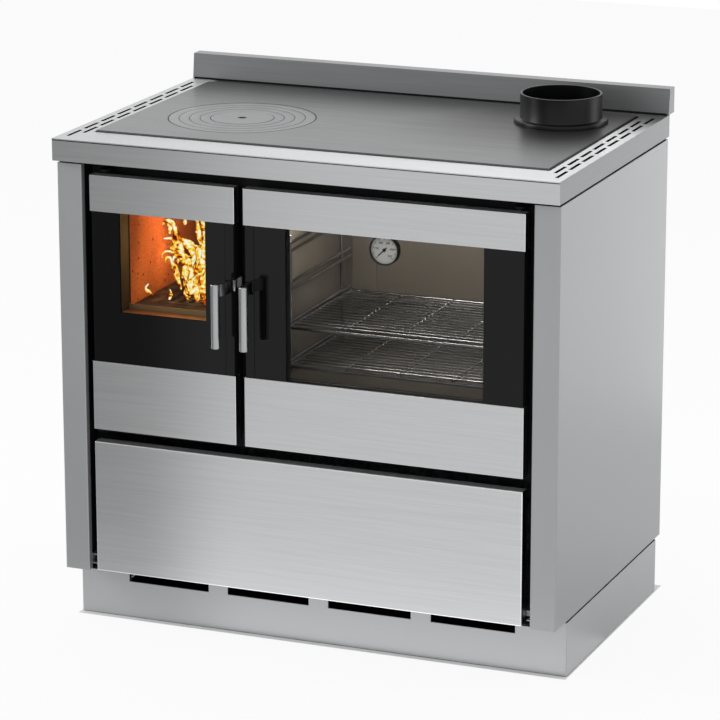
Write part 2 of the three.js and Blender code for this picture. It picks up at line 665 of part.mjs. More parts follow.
function makeShell() {
  const outer = block([-shellHalf, shellHalf], [shellFront, shellRear], [shellBottom, shellTop]);
  const room = block(
    [-shellInner, shellInner],
    [shellFront - 1, shellRear - SHELL_SHEET],
    [shellBottom + SHELL_SHEET, shellTop + 1],
  );
  const partition = block(
    [partitionLeft, partitionRight], [shellFront, shellRear - 1],
    [shellBottom + 1, hobBottom - PARTITION_BELOW_HOB],
  );
  const lintel = block(
    [-shellHalf + 1, shellHalf - 1], [hobFront + SHELL_SHEET, hobFront + 2 * SHELL_SHEET],
    [shellTop - SHELL_LINTEL_HEIGHT, shellTop],
  );
  const ledgeZ = [bedBottom - SEAT - SHELL_SHEET, bedBottom - SEAT];
  const ledges = [
    block([-shellHalf + 1, -shellInner + BED_LEDGE], bedY, ledgeZ),
    block([partitionLeft - BED_LEDGE, partitionRight - 1], bedY, ledgeZ),
  ];
  addPiece('stove_shell', join([cut(outer, [room]), partition, lintel, ...ledges]), blackSteel);
}

function makeFirebox() {
  const sideDepth = [shellFront, fireRear - BRICK_JOINT];
  addPiece('fire_brick_left', block(brickLeft, sideDepth, brickZ), vermiculite);
  addPiece('fire_brick_right', block(brickRight, sideDepth, brickZ), vermiculite);
  const backWidth = [brickLeft[0], brickRight[1]];
  addPiece('fire_brick_back', block(backWidth, [fireRear, fireRear + BRICK_THICKNESS], brickZ), vermiculite);

  const grateX = [fireCentre - GRATE_WIDTH / 2, fireCentre + GRATE_WIDTH / 2];
  const grateDepth = [grateY - GRATE_DEPTH / 2, grateY + GRATE_DEPTH / 2];
  const bedMiddle = (bedTop + bedBottom) / 2;
  const seat = GRATE_BORDER / 2;
  const bed = block(bedX, bedY, [bedBottom, bedTop]);
  const upperWell = block(
    [grateX[0] - GRATE_FIT, grateX[1] + GRATE_FIT], [grateDepth[0] - GRATE_FIT, grateDepth[1] + GRATE_FIT],
    [bedMiddle, bedTop + 1],
  );
  const lowerWell = block(
    [grateX[0] + seat, grateX[1] - seat], [grateDepth[0] + seat, grateDepth[1] - seat],
    [bedBottom - 1, bedMiddle + 1],
  );
  addPiece('fire_bed', cut(bed, [upperWell, lowerWell]), castIron);

  const grate = block(grateX, grateDepth, [bedMiddle + SEAT, bedTop]);
  const slotRoom = GRATE_WIDTH - 2 * GRATE_BORDER;
  const slotPitch = (slotRoom - GRATE_SLOT_WIDTH) / (GRATE_SLOT_COUNT - 1);
  const slots = spread(GRATE_SLOT_COUNT, slotPitch, fireCentre).map((x) => block(
    [x - GRATE_SLOT_WIDTH / 2, x + GRATE_SLOT_WIDTH / 2],
    [grateDepth[0] + GRATE_BORDER, grateDepth[1] - GRATE_BORDER],
    [bedBottom, bedTop + 1],
  ));
  addPiece('fire_grate', cut(grate, slots), castIron);

  const baffleY = [shellFront + BAFFLE_FRONT_OPENING, fireRear + BRICK_THICKNESS];
  const baffleX = [brickLeft[0], partitionLeft - SEAT];
  addPiece('baffle_plate', block(baffleX, baffleY, baffleZ), castIron);
}

function makeAshPan() {
  const x = [fireMouthX[0] + ASH_PAN_CLEARANCE, fireMouthX[1] - ASH_PAN_CLEARANCE];
  const y = [shellFront, shellFront + ASH_PAN_DEPTH];
  const bottom = shellBottom + SHELL_SHEET + SEAT;
  const lift = ashMouthZ[0] + ASH_PAN_CLEARANCE - bottom;
  const z = [bottom + lift, bottom + lift + ASH_PAN_HEIGHT];
  const wall = ASH_PAN_SHEET;
  const pan = block(x, y, z);
  const room = block([x[0] + wall, x[1] - wall], [y[0] + wall, y[1] - wall], [z[0] + wall, z[1] + 1]);
  const centre = (x[0] + x[1]) / 2;
  const gripHalf = (x[1] - x[0]) / 5;
  const gripFront = frameFront + SEAT;
  const grip = block([centre - gripHalf, centre + gripHalf], [gripFront, y[0] + wall / 2], [z[1] - 3 * wall, z[1] - 2 * wall]);
  const runners = [x[0] + 3 * wall, x[1] - 3 * wall].map((at) => block([at - wall, at + wall], y, [bottom, z[0] + wall / 2]));
  addPiece('ash_pan', join([cut(pan, [room]), grip, ...runners]), greyGalvanised);
}

// The plate reaches further left than right, so that it covers every hole when it has slid right
function makeAirSlide() {
  const y = [frameFront - SEAT - AIR_SLIDE_THICKNESS, frameFront - SEAT];
  const travel = AIR_HOLE_PITCH / 2;
  const plate = block(
    [fireMouthCentre - (AIR_SLIDE_WIDTH + travel) / 2, fireMouthCentre + (AIR_SLIDE_WIDTH - travel) / 2], y,
    [airZ - AIR_SLIDE_HEIGHT / 2, airZ + AIR_SLIDE_HEIGHT / 2],
  );
  const knobX = fireMouthCentre + travel;
  const knob = rodY(AIR_KNOB_RADIUS, knobX, airZ, [y[0] - AIR_KNOB_LENGTH, y[0] + 1], 16);
  const holes = airHoles([y[0] - 1, y[1] + 1], 0);
  addPiece('air_slide', join([cut(plate, holes), knob]), blackSteel);
}

// ---------------------------------------------------------------- oven
const ovenRear = shellFront + OVEN_DEPTH;
const ladderY = [shellFront + LADDER_FRONT_INSET, ovenRear - LADDER_REAR_INSET];
const ladderFirst = ovenZ[0] + LADDER_FIRST_LEVEL;
const ladderPitch = (ovenZ[1] - LADDER_TOP_ROOM - ladderFirst) / (LADDER_LEVELS - 1);

// Pressed box, open at the front, with a panel embossed in its back
function makeOvenBox() {
  const wall = OVEN_SHEET;
  const outer = block(
    [ovenX[0] - wall, ovenX[1] + wall], [shellFront, ovenRear + wall], [ovenZ[0] - wall, ovenZ[1] + wall],
  );
  const room = block(ovenX, [shellFront - 1, ovenRear], ovenZ);
  const embossX = [ovenX[0] + OVEN_EMBOSS_MARGIN, ovenX[1] - OVEN_EMBOSS_MARGIN];
  const embossZ = [ovenZ[0] + OVEN_EMBOSS_MARGIN, ovenZ[1] - OVEN_EMBOSS_MARGIN];
  const embossRear = ovenRear + OVEN_EMBOSS_DEPTH;
  const bulge = block(
    [embossX[0] - wall, embossX[1] + wall], [ovenRear, embossRear + wall],
    [embossZ[0] - wall, embossZ[1] + wall],
  );
  const recess = block(embossX, [ovenRear - 1, embossRear], embossZ);
  addPiece('oven_box', cut(join([outer, bulge]), [room, recess]), enamel);
}

// Wire ladder on each side wall: pairs of rods that a rack slides between, welded to two posts
function makeLadders() {
  const sides = { left: ovenX[0] + LADDER_INSET, right: ovenX[1] - LADDER_INSET };
  for (const [side, x] of Object.entries(sides)) {
    const toWall = side === 'left' ? -1 : 1;
    const postX = x + toWall * LADDER_WIRE_RADIUS * 1.7;
    const rods = [];
    for (let level = 0; level < LADDER_LEVELS; level += 1) {
      const upper = ladderFirst + level * ladderPitch;
      rods.push(rodY(LADDER_WIRE_RADIUS, x, upper, ladderY));
      rods.push(rodY(LADDER_WIRE_RADIUS, x, upper - LADDER_PAIR_SPACING, ladderY));
    }
    const postZ = [ovenZ[0] + SEAT, ovenZ[1] - LADDER_TOP_ROOM + LADDER_PAIR_SPACING];
    const posts = [ladderY[0] + LADDER_POST_INSET, ladderY[1] - LADDER_POST_INSET];
    for (const y of posts) {
      rods.push(rodZ(LADDER_WIRE_RADIUS, postX, y, postZ, 8));
    }
    addPiece(`rack_ladder_${side}`, join(rods), chromeWire);
  }
}

// Rack: wires across, ribs from front to back, and a second rail under the front edge
function makeRacks() {
  const inset = LADDER_INSET + RACK_SIDE_PLAY;
  const railX = [ovenX[0] + inset, ovenX[1] - inset];
  for (const level of RACK_LEVELS) {
    const lowerRod = ladderFirst + level * ladderPitch - LADDER_PAIR_SPACING;
    const z = lowerRod + LADDER_WIRE_RADIUS + SEAT + RACK_FRAME_RADIUS;
    const wireZ = z + RACK_FRAME_RADIUS - RACK_WIRE_RADIUS / 2;
    const rods = railX.map((x) => rodY(RACK_FRAME_RADIUS, x, z, ladderY));
    for (const y of [ladderY[0] + RACK_FRAME_RADIUS, ladderY[1] - RACK_FRAME_RADIUS]) {
      rods.push(rodX(RACK_FRAME_RADIUS, y, z, railX));
    }
    const ribPitch = (railX[1] - railX[0]) / (RACK_RIB_COUNT + 1);
    for (const x of spread(RACK_RIB_COUNT, ribPitch, ovenCentre)) {
      rods.push(rodY(RACK_FRAME_RADIUS - SEAT, x, z - SEAT, [ladderY[0] + 1, ladderY[1] - 1]));
    }
    const wirePitch = (ladderY[1] - ladderY[0] - 4 * RACK_FRAME_RADIUS) / (RACK_WIRE_COUNT + 1);
    for (const y of spread(RACK_WIRE_COUNT, wirePitch, (ladderY[0] + ladderY[1]) / 2)) {
      rods.push(rodX(RACK_WIRE_RADIUS, y, wireZ, railX, 6));
    }
    addPiece(`oven_rack_${level + 1}`, join(rods), chromeWire);
  }
}

// ---------------------------------------------------------------- doors
// Everything about one door: hinge is -1 where it hangs on its left edge and 1 on its right
function planDoor(prefix, hinge, x, window, mouth) {
  const hingeEdge = hinge < 0 ? x[0] : x[1];
  const freeEdge = hinge < 0 ? x[1] : x[0];
  return {
    prefix, hinge, x, hingeEdge, freeEdge,
    windowX: window.x,
    windowZ: window.z,
    mouthX: mouth.x,
    mouthZ: mouth.z,
    ringX: [mouth.x[0] - GASKET_WIDTH, mouth.x[1] + GASKET_WIDTH],
    ringZ: [mouth.z[0] - GASKET_WIDTH, mouth.z[1] + GASKET_WIDTH],
    frameZ: [doorBottom + DOOR_FRAME_INSET, doorTop - DOOR_FRAME_INSET],
    pivotX: hingeEdge - hinge * PIVOT_FROM_EDGE,
    pivotY: bandFront + PIVOT_FROM_FRONT,
    latchX: freeEdge + hinge * LATCH_PIVOT_FROM_EDGE,
    latchY: glassFront + LATCH_PIVOT_BEHIND_GLASS,
    stileInner: freeEdge + hinge * STILE_WIDTH,
  };
}

// The two ends of a span, the lower one first
function ordered(a, b) {
  return [Math.min(a, b), Math.max(a, b)];
}

// Folded band: front skin, returns at both ends and the outer edge, and a short lip onto the glass
function makeBand(door, name, [z0, z1], glassBelow) {
  const sheet = BAND_SHEET;
  const rear = bandFront + BAND_RETURN;
  const innerX = [door.x[0] + sheet, door.x[1] - sheet];
  const outer = block(door.x, [bandFront, rear], [z0, z1]);
  const room = block(innerX, [bandFront + sheet, rear + 1], [z0 + sheet, z1 - sheet]);
  const behindLip = glassBelow ? [z0 - 1, z0 + sheet + 1] : [z1 - sheet - 1, z1 + 1];
  const lipRoom = block(innerX, [glassFront - SEAT, rear + 1], behindLip);
  addPiece(`${door.prefix}_door_${name}_band`, cut(outer, [room, lipRoom]), brushedSteel);
}

// A ring as wide as the seal, around the mouth that the door closes
function sealRing(door, y) {
  const mouth = block(door.mouthX, [y[0] - 1, y[1] + 1], door.mouthZ);
  return cut(block(door.ringX, y, door.ringZ), [mouth]);
}

// Frame: a plate behind the glass, a stile flush with the glass, and what is welded to its back
function makeDoorFrame(door, welded, extraCuts) {
  const { hinge, x, freeEdge, frameZ } = door;
  const frameX = [x[0] + DOOR_FRAME_INSET, x[1] - DOOR_FRAME_INSET];
  const plate = block(frameX, [doorFrameFront, doorFrameRear], frameZ);
  const stile = block(
    ordered(door.stileInner, freeEdge + hinge * DOOR_FRAME_INSET), [glassFront, doorFrameFront + 1],
    [lowerBandTop + SEAT, topBandBottom - SEAT],
  );
  const pocketHalf = STRAP_HEIGHT / 2 + LATCH_PLAY;
  const pocket = block(
    ordered(freeEdge - hinge * 2, freeEdge + hinge * LATCH_POCKET_DEPTH),
    [glassFront - 1, frameFront], [latchZ - pocketHalf, latchZ + pocketHalf],
  );
  const latchReach = pocketHalf + LATCH_PIN_ENGAGEMENT + LATCH_PLAY;
  const latchBore = rodZ(
    LATCH_PIN_RADIUS + LATCH_PLAY, door.latchX, door.latchY, [latchZ - latchReach, latchZ + latchReach],
  );
  const boreRadius = HINGE_PIN_RADIUS + HINGE_PIN_PLAY;
  const boreDepth = HINGE_PIN_ENGAGEMENT + HINGE_PIN_PLAY;
  const hingeBores = [[frameZ[0] - 1, frameZ[0] + boreDepth], [frameZ[1] - boreDepth, frameZ[1] + 1]];
  const cuts = hingeBores.map((z) => rodZ(boreRadius, door.pivotX, door.pivotY, z, 16));
  const solid = join([plate, stile, ...welded]);
  addPiece(`${door.prefix}_door_frame`, cut(solid, [...cuts, pocket, latchBore, ...extraCuts]), blackSteel);
}


// The seal lies on a channel. The fire door's is welded on, and the oven door's is screwed on,
// because it also holds the inner pane
function makeDoor(door, channelIsLoose, extraCuts) {
  const { prefix, hinge, hingeEdge } = door;
  makeBand(door, 'top', [topBandBottom, doorTop], true);
  makeBand(door, 'lower', [doorBottom, lowerBandTop], false);
  const glassX = ordered(hingeEdge - hinge * GLASS_EDGE_INSET, door.stileInner + hinge * SEAT);
  const glassZ = [lowerBandTop - GLASS_TUCK, topBandBottom + GLASS_TUCK];
  addPiece(`${prefix}_door_glass`, block(glassX, [glassFront, glassRear], glassZ), clearGlass);
  const channelRear = doorFrameRear + SEAT + SEAL_CHANNEL_DEPTH;
  if (channelIsLoose) {
    makeDoorFrame(door, [], extraCuts);
    addPiece(`${prefix}_door_seal_channel`, sealRing(door, [doorFrameRear + SEAT, channelRear]), blackSteel);
  } else {
    makeDoorFrame(door, [sealRing(door, [doorFrameRear - 1, channelRear])], extraCuts);
  }
  addPiece(`${prefix}_door_gasket`, sealRing(door, [channelRear + SEAT, frameFront - SEAT]), sealRope);
  makeHandle(door);
  makeHinges(door);
}

// Rod hung from a curved strap; the strap turns on a pin in the stile and ends in the latch nose
function makeHandle(door) {
  const { prefix, hinge, freeEdge, latchX, latchY } = door;
  const rodTop = latchZ + STRAP_HEIGHT / 2 + STRAP_TOP_INSET;
  const rodBottom = rodTop - HANDLE_LENGTH;
  const rodX = freeEdge + hinge * HANDLE_FROM_EDGE;
  const rodY = glassFront - HANDLE_REACH;
  const profile = [
    [0, rodBottom], [HANDLE_RADIUS - HANDLE_EDGE_BREAK, rodBottom],
    [HANDLE_RADIUS, rodBottom + HANDLE_EDGE_BREAK], [HANDLE_RADIUS, rodTop - HANDLE_EDGE_BREAK],
    [HANDLE_RADIUS - HANDLE_EDGE_BREAK, rodTop], [0, rodTop],
  ];
  addPiece(`${prefix}_handle_rod`, turned(profile, 24).translate(rodX, rodY, 0), brushedSteel);

  const start = new THREE.Vector2(rodX, rodY + HANDLE_RADIUS + SEAT);
  const bend = new THREE.Vector2(latchX - hinge, start.y + STRAP_THICKNESS);
  const end = new THREE.Vector2(latchX, latchY);
  const centreline = new THREE.QuadraticBezierCurve(start, bend, end);
  const steps = [0, 1, 2, 3, 4, 5, 6].map((step) => step / 6);
  const edge = (side) => steps.map((step) => {
    const point = centreline.getPoint(step);
    const along = step === 0 ? new THREE.Vector2(0, 1) : centreline.getTangent(step);
    return [point.x + side * along.y * STRAP_THICKNESS / 2, point.y - side * along.x * STRAP_THICKNESS / 2];
  });
  const strapZ = [latchZ - STRAP_HEIGHT / 2, latchZ + STRAP_HEIGHT / 2];
  const strap = prismZ(outline([...edge(1), ...edge(-1).reverse()]), strapZ);
  const boss = rodZ(LATCH_BOSS_RADIUS, latchX, latchY, strapZ, 20);
  const pinReach = STRAP_HEIGHT / 2 + LATCH_PLAY + LATCH_PIN_ENGAGEMENT;
  const pin = rodZ(LATCH_PIN_RADIUS, latchX, latchY, [latchZ - pinReach, latchZ + pinReach]);
  const tailRear = latchY + LATCH_TAIL_LENGTH;
  const tail = block([latchX - STRAP_THICKNESS / 2, latchX + STRAP_THICKNESS / 2], [latchY, tailRear], strapZ);
  const nose = block(ordered(latchX, latchX - hinge * LATCH_NOSE_REACH), [tailRear - STRAP_THICKNESS, tailRear], strapZ);
  addPiece(`${prefix}_handle_strap`, join([strap, boss, pin, tail, nose]), brushedSteel);
}

// Two leaves on the front frame, each with an upright pin that the door frame drops onto
function makeHinges(door) {
  const { prefix, pivotX, pivotY, frameZ } = door;
  const leaves = {
    upper: [doorTop + HINGE_LEAF_CLEARANCE, doorTop + HINGE_LEAF_CLEARANCE + HINGE_LEAF],
    lower: [doorBottom - HINGE_LEAF_CLEARANCE - HINGE_LEAF, doorBottom - HINGE_LEAF_CLEARANCE],
  };
  const pins = {
    upper: [frameZ[1] - HINGE_PIN_ENGAGEMENT, leaves.upper[1] - 1],
    lower: [leaves.lower[0] + 1, frameZ[0] + HINGE_PIN_ENGAGEMENT],
  };
  for (const place of ['upper', 'lower']) {
    const half = HINGE_LEAF_WIDTH / 2;
    const leaf = block([pivotX - half, pivotX + half], [pivotY, frameFront - SEAT], leaves[place]);
    const end = rodZ(half, pivotX, pivotY, leaves[place], 24);
    const pin = rodZ(HINGE_PIN_RADIUS, pivotX, pivotY, pins[place], 16);
    addPiece(`${prefix}_hinge_${place}`, join([leaf, end, pin]), blackSteel);
  }
}

// Lining of the fire window: a short steel tube with a raised sill at its back edge
function makeWindowTrim({ windowX, windowZ }) {
  const sheet = TRIM_SHEET;
  const y = [doorFrameFront, doorFrameFront + TRIM_DEPTH];
  const outer = block([windowX[0] - sheet, windowX[1] + sheet], y, [windowZ[0] - sheet, windowZ[1] + sheet]);
  const lining = cut(outer, [block(windowX, [y[0] - 1, y[1] + 1], windowZ)]);
  const sill = block([windowX[0] - 1, windowX[1] + 1], [y[1] - sheet, y[1]], [windowZ[0] - 1, windowZ[0] + TRIM_SILL]);
  addPiece('fire_window_trim', join([lining, sill]), warmSteel);
}

const dialZ = topBandBottom - DIAL_BELOW_BAND;
const dialFront = doorFrameFront;
const probeY = [dialFront + DIAL_DEPTH - 1, dialFront + DIAL_DEPTH + PROBE_LENGTH];

// The oven's inner pane sits in a rebate at the back of the door frame, with a hole for the probe
function makeInnerGlass(paneX, paneZ, paneY) {
  const pane = block(
    [paneX[0] + SEAT, paneX[1] - SEAT], paneY, [paneZ[0] + SEAT, paneZ[1] - SEAT],
  );
  const hole = rodY(PROBE_RADIUS + 1, ovenCentre, dialZ, [paneY[0] - 1, paneY[1] + 1], 16);
  addPiece('oven_inner_glass', cut(pane, [hole]), clearGlass);
}

function makeThermometer() {
  const well = DIAL_RADIUS - DIAL_RIM;
  const profile = [
    [0, DIAL_WELL], [well, DIAL_WELL], [well, 0], [DIAL_RADIUS, 0],
    [DIAL_RADIUS, DIAL_DEPTH], [0, DIAL_DEPTH],
  ];
  const housing = turned(profile, 40).rotateX(-Math.PI / 2).translate(ovenCentre, dialFront, dialZ);
  const probe = rodY(PROBE_RADIUS, ovenCentre, dialZ, probeY, 12);
  addPiece('thermometer', join([housing, probe]), dialWhite);

  const hub = NEEDLE_WIDTH * 1.5;
  const needle = outline([
    [-NEEDLE_TAIL, -NEEDLE_WIDTH / 2], [NEEDLE_LENGTH - NEEDLE_WIDTH, -NEEDLE_WIDTH / 2],
    [NEEDLE_LENGTH, 0], [NEEDLE_LENGTH - NEEDLE_WIDTH, NEEDLE_WIDTH / 2], [-NEEDLE_TAIL, NEEDLE_WIDTH / 2],
  ]);
  const thickness = [0, NEEDLE_THICKNESS];
  const flat = join([prismZ(needle, thickness), rodZ(hub, 0, 0, [-NEEDLE_THICKNESS, NEEDLE_THICKNESS], 16)]);
  flat.rotateZ(THREE.MathUtils.degToRad(NEEDLE_REST_ANGLE)).rotateX(Math.PI / 2);
  const needleY = dialFront + DIAL_WELL - SEAT - NEEDLE_THICKNESS;
  addPiece('thermometer_needle', flat.translate(ovenCentre, needleY, dialZ), needleBlack);
}

// ---------------------------------------------------------------- log drawer
function makeDrawer() {
  const frontX = [-doorHalf, doorHalf];
  const frontRear = bandFront + BAND_RETURN;
  const sheet = BAND_SHEET;
  const panel = block(frontX, [bandFront, frontRear], [drawerBottom, drawerTop]);
  const room = block(
    [frontX[0] + sheet, frontX[1] - sheet], [bandFront + sheet, frontRear + 1],
    [drawerBottom + sheet, drawerTop - sheet],
  );
  addPiece('drawer_front', cut(panel, [room]), brushedSteel);

  const wall = DRAWER_BIN_SHEET;
  const binHalf = doorHalf - DRAWER_BIN_SIDE_INSET;
  const binY = [frontRear + SEAT, frontRear + SEAT + DRAWER_BIN_DEPTH];
  const binBottom = drawerBottom + DRAWER_BOTTOM_GAP;
  const binTop = drawerTop - DRAWER_BIN_BELOW_FRONT_TOP;
  const bin = block([-binHalf, binHalf], binY, [binBottom, binTop]);
  const binRoom = block(
    [wall - binHalf, binHalf - wall], [binY[0] + wall, binY[1] - wall],
    [binBottom + wall, binTop + 1],
  );
  const runnerOuter = frameHalf - FRAME_SHEET - SEAT;
  const runnerZ = [baseTop + RUNNER_BASE_GAP, baseTop + RUNNER_BASE_GAP + RUNNER_HEIGHT];
  const barOuter = runnerOuter - RUNNER_SHEET - RUNNER_PLAY;
  const barInset = RUNNER_SHEET + RUNNER_PLAY;
  const barZ = [runnerZ[0] + barInset, runnerZ[1] - barInset];
  const barY = [binY[0] + DRAWER_BIN_SIDE_INSET, binY[1] - DRAWER_BIN_SIDE_INSET];
  const bars = [-1, 1].map((side) => block(ordered(side * (binHalf - wall / 2), side * barOuter), barY, barZ));
  addPiece('drawer_bin', join([cut(bin, [binRoom]), ...bars]), greyGalvanised);

  const runnerY = [bandFront + RUNNER_FRONT_INSET, binY[1]];
  for (const [side, sign] of [['left', -1], ['right', 1]]) {
    const runnerInner = runnerOuter - RUNNER_WIDTH;
    const channel = block(ordered(sign * runnerInner, sign * runnerOuter), runnerY, runnerZ);
    const groove = block(
      ordered(sign * (runnerInner - 1), sign * (runnerOuter - RUNNER_SHEET)),
      [runnerY[0] - 1, runnerY[1] + 1], [runnerZ[0] + RUNNER_SHEET, runnerZ[1] - RUNNER_SHEET],
    );
    addPiece(`drawer_runner_${side}`, cut(channel, [groove]), greyGalvanised);
  }
}

// ---------------------------------------------------------------- assembly
makePlinth();
makeFeet();
makeBasePlate();
makeSidePanels();
makeRearPanel();
makeFrontFrame();
makeWorktop();
makeSplashGuard();
makeHob();
makeFlueCollar();
makeShell();
makeFirebox();
makeAshPan();
makeAirSlide();
makeOvenBox();
makeLadders();
makeRacks();
makeDrawer();

const fireWindow = { x: [fireWindowLeft, fireWindowRight], z: [fireWindowBottom, topBandBottom + WINDOW_TUCK] };
const fireDoor = planDoor('fire', -1, [fireDoorLeft, fireDoorRight], fireWindow, {
  x: fireMouthX, z: [ashMouthZ[0], fireMouthZ[1]],
});
const trimRoom = TRIM_SHEET + SEAT;
makeDoor(fireDoor, false, [block(
  [fireWindow.x[0] - trimRoom, fireWindow.x[1] + trimRoom], [0, frameFront],
  [fireWindow.z[0] - trimRoom, fireWindow.z[1] + trimRoom],
)]);
makeWindowTrim(fireDoor);

const ovenWindow = {
  x: [ovenDoorLeft + OVEN_WINDOW_SIDE_MARGIN, ovenDoorRight - OVEN_WINDOW_SIDE_MARGIN],
  z: [lowerBandTop - OVEN_WINDOW_TUCK, topBandBottom + WINDOW_TUCK],
};
const ovenDoor = planDoor('oven', 1, [ovenDoorLeft, ovenDoorRight], ovenWindow, { x: ovenX, z: ovenZ });
const paneX = [ovenWindow.x[0] - INNER_GLASS_OVERLAP, ovenWindow.x[1] + INNER_GLASS_OVERLAP];
const paneZ = [
  Math.max(ovenWindow.z[0] - INNER_GLASS_OVERLAP, ovenZ[0]),
  Math.min(ovenWindow.z[1] + INNER_GLASS_OVERLAP, ovenZ[1]),
];
const paneY = [doorFrameRear - INNER_GLASS_THICKNESS, doorFrameRear];
makeDoor(ovenDoor, true, [
  block(ovenWindow.x, [0, frameFront], ovenWindow.z),
  block(paneX, [paneY[0] - SEAT, frameFront], paneZ),
]);
makeInnerGlass(paneX, paneZ, paneY);
makeThermometer();

// Centre the footprint: the handles reach furthest forward and the splash guard furthest back
const frontmost = glassFront - HANDLE_REACH - HANDLE_RADIUS;
const rearmost = WORKTOP_DEPTH + SPLASH_THICKNESS;
cooker.position.y = -(frontmost + rearmost) / 2;

export default cooker;
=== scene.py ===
"""Wood-burning range cooker, lit, in a plain pale studio.

Blender metres, +Z up, front towards -Y. Sizes are written in millimetres, and lengths along Y are
counted from the worktop's front edge, as they are in the part's source.
"""
import math
import random

import bmesh
import bpy
from mathutils import Matrix, Vector


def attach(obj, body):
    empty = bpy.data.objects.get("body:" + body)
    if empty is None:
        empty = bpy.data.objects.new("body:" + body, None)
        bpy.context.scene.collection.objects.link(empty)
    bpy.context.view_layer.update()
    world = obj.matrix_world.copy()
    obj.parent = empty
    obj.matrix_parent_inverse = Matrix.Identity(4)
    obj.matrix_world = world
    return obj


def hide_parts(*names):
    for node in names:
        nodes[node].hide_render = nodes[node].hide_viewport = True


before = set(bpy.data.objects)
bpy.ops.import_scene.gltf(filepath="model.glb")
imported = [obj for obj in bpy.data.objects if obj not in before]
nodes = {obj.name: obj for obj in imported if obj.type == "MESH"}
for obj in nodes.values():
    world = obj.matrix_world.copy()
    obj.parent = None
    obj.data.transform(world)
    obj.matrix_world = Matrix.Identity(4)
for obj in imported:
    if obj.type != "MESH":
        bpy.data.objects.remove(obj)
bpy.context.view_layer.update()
scene = bpy.context.scene
scene.view_settings.view_transform = "Standard"

# ---------------------------------------------------------------- Camera
# A long lens looks down at the cooker from its front right, as the photograph does
camera_data = bpy.data.cameras.new("studio_camera")
camera_data.lens = 184.2
camera_data.sensor_width = 36
camera_data.clip_start = 0.1
camera = bpy.data.objects.new("studio_camera", camera_data)
scene.collection.objects.link(camera)
scene.camera = camera
camera.location = (2.314, -5.673, 2.139)
pitch_down, yaw, roll = 15.43, 22.24, 0.06
camera.rotation_euler = (math.radians(90 - pitch_down), math.radians(roll), math.radians(yaw))

# ---------------------------------------------------------------- Studio
# White surroundings and a pale floor. Steel mirrors the room: a grey screen stands at the front
# left and another at the back right, so that its flat faces shade from dark to bright


def linear(hex_colour):
    """An sRGB hex colour as linear red, green, blue and alpha."""
    def channel(value):
        share = value / 255
        return share / 12.92 if share <= 0.04045 else ((share + 0.055) / 1.055) ** 2.4
    digits = hex_colour.lstrip("#")
    return tuple(channel(int(digits[i:i + 2], 16)) for i in (0, 2, 4)) + (1.0,)


def add_node(tree, kind, **values):
    """Adds a shader node. Settings are in lower case, and the rest are its inputs: by name, with _
    for a space, or by number after _. MapRange takes 1 to 2 onto 3 to 4, and Mix blends colours 6
    and 7, or numbers 2 and 3."""
    node = tree.nodes.new("ShaderNode" + kind)
    for name, value in values.items():
        if name[0].islower():
            setattr(node, name, value)
            continue
        key = int(name[1:]) if name[1:].isdigit() else name.replace("_", " ")
        if isinstance(value, bpy.types.NodeSocket):
            tree.links.new(value, node.inputs[key])
        else:
            node.inputs[key].default_value = value
    return node.outputs


def new_material(name):
    """An empty material: its node tree and the socket that its shader goes into."""
    material = bpy.data.materials.new(name)
    material.use_nodes = True
    tree = material.node_tree
    tree.nodes.clear()
    return material, tree, tree.nodes.new("ShaderNodeOutputMaterial").inputs["Surface"]


world = bpy.data.worlds.new("studio")
scene.world = world
world.use_nodes = True
tree = world.node_tree
tree.nodes.clear()
direction = add_node(tree, "TexCoord")["Generated"]
axes = add_node(tree, "SeparateXYZ", Vector=direction)
SCREEN_TONE, FRONT_TONE, BACK_SCREEN_TONE, BACK_TONE, AMBIENT = 0.28, 0.84, 0.36, 1.0, 0.62
# The front screen ends along a line this far left of the front, seen from the fire door
SCREEN_TURN = math.radians(25.4)
SCREEN_EDGE = Vector((math.cos(SCREEN_TURN), -math.sin(SCREEN_TURN), 0))


def front_screen(tree, direction, softness):
    """The brightness of the room past the edge of the front screen."""
    beyond = add_node(tree, "VectorMath", operation="DOT_PRODUCT", _0=direction, _1=SCREEN_EDGE)
    return add_node(
        tree, "MapRange", interpolation_type="SMOOTHSTEP",
        Value=beyond["Value"], _1=-softness, _2=softness, _3=SCREEN_TONE, _4=FRONT_TONE,
    )[0]


front = front_screen(tree, direction, 0.03)
back = add_node(
    tree, "MapRange", interpolation_type="SMOOTHSTEP",
    Value=axes["X"], _1=-0.15, _2=0.25, _3=BACK_TONE, _4=BACK_SCREEN_TONE,
)
behind = add_node(tree, "Math", operation="GREATER_THAN", _0=axes["Y"], _1=0.0)
brightness = add_node(tree, "Mix", data_type="FLOAT", Factor=behind[0], _2=front, _3=back[0])
mirrored = add_node(tree, "Background", Color=linear("#ffffff"), Strength=brightness[0])
ambient = add_node(tree, "Background", Color=linear("#ffffff"), Strength=AMBIENT)
white = add_node(tree, "Background", Color=linear("#ffffff"), Strength=1.0)
path = add_node(tree, "LightPath")
seen_in_gloss = add_node(
    tree, "Math", operation="MAXIMUM", _0=path["Is Glossy Ray"], _1=path["Is Transmission Ray"],
)
room = add_node(tree, "MixShader", _0=seen_in_gloss[0], _1=ambient[0], _2=mirrored[0])
room = add_node(tree, "MixShader", _0=path["Is Camera Ray"], _1=room[0], _2=white[0])
tree.links.new(room[0], tree.nodes.new("ShaderNodeOutputWorld").inputs["Surface"])

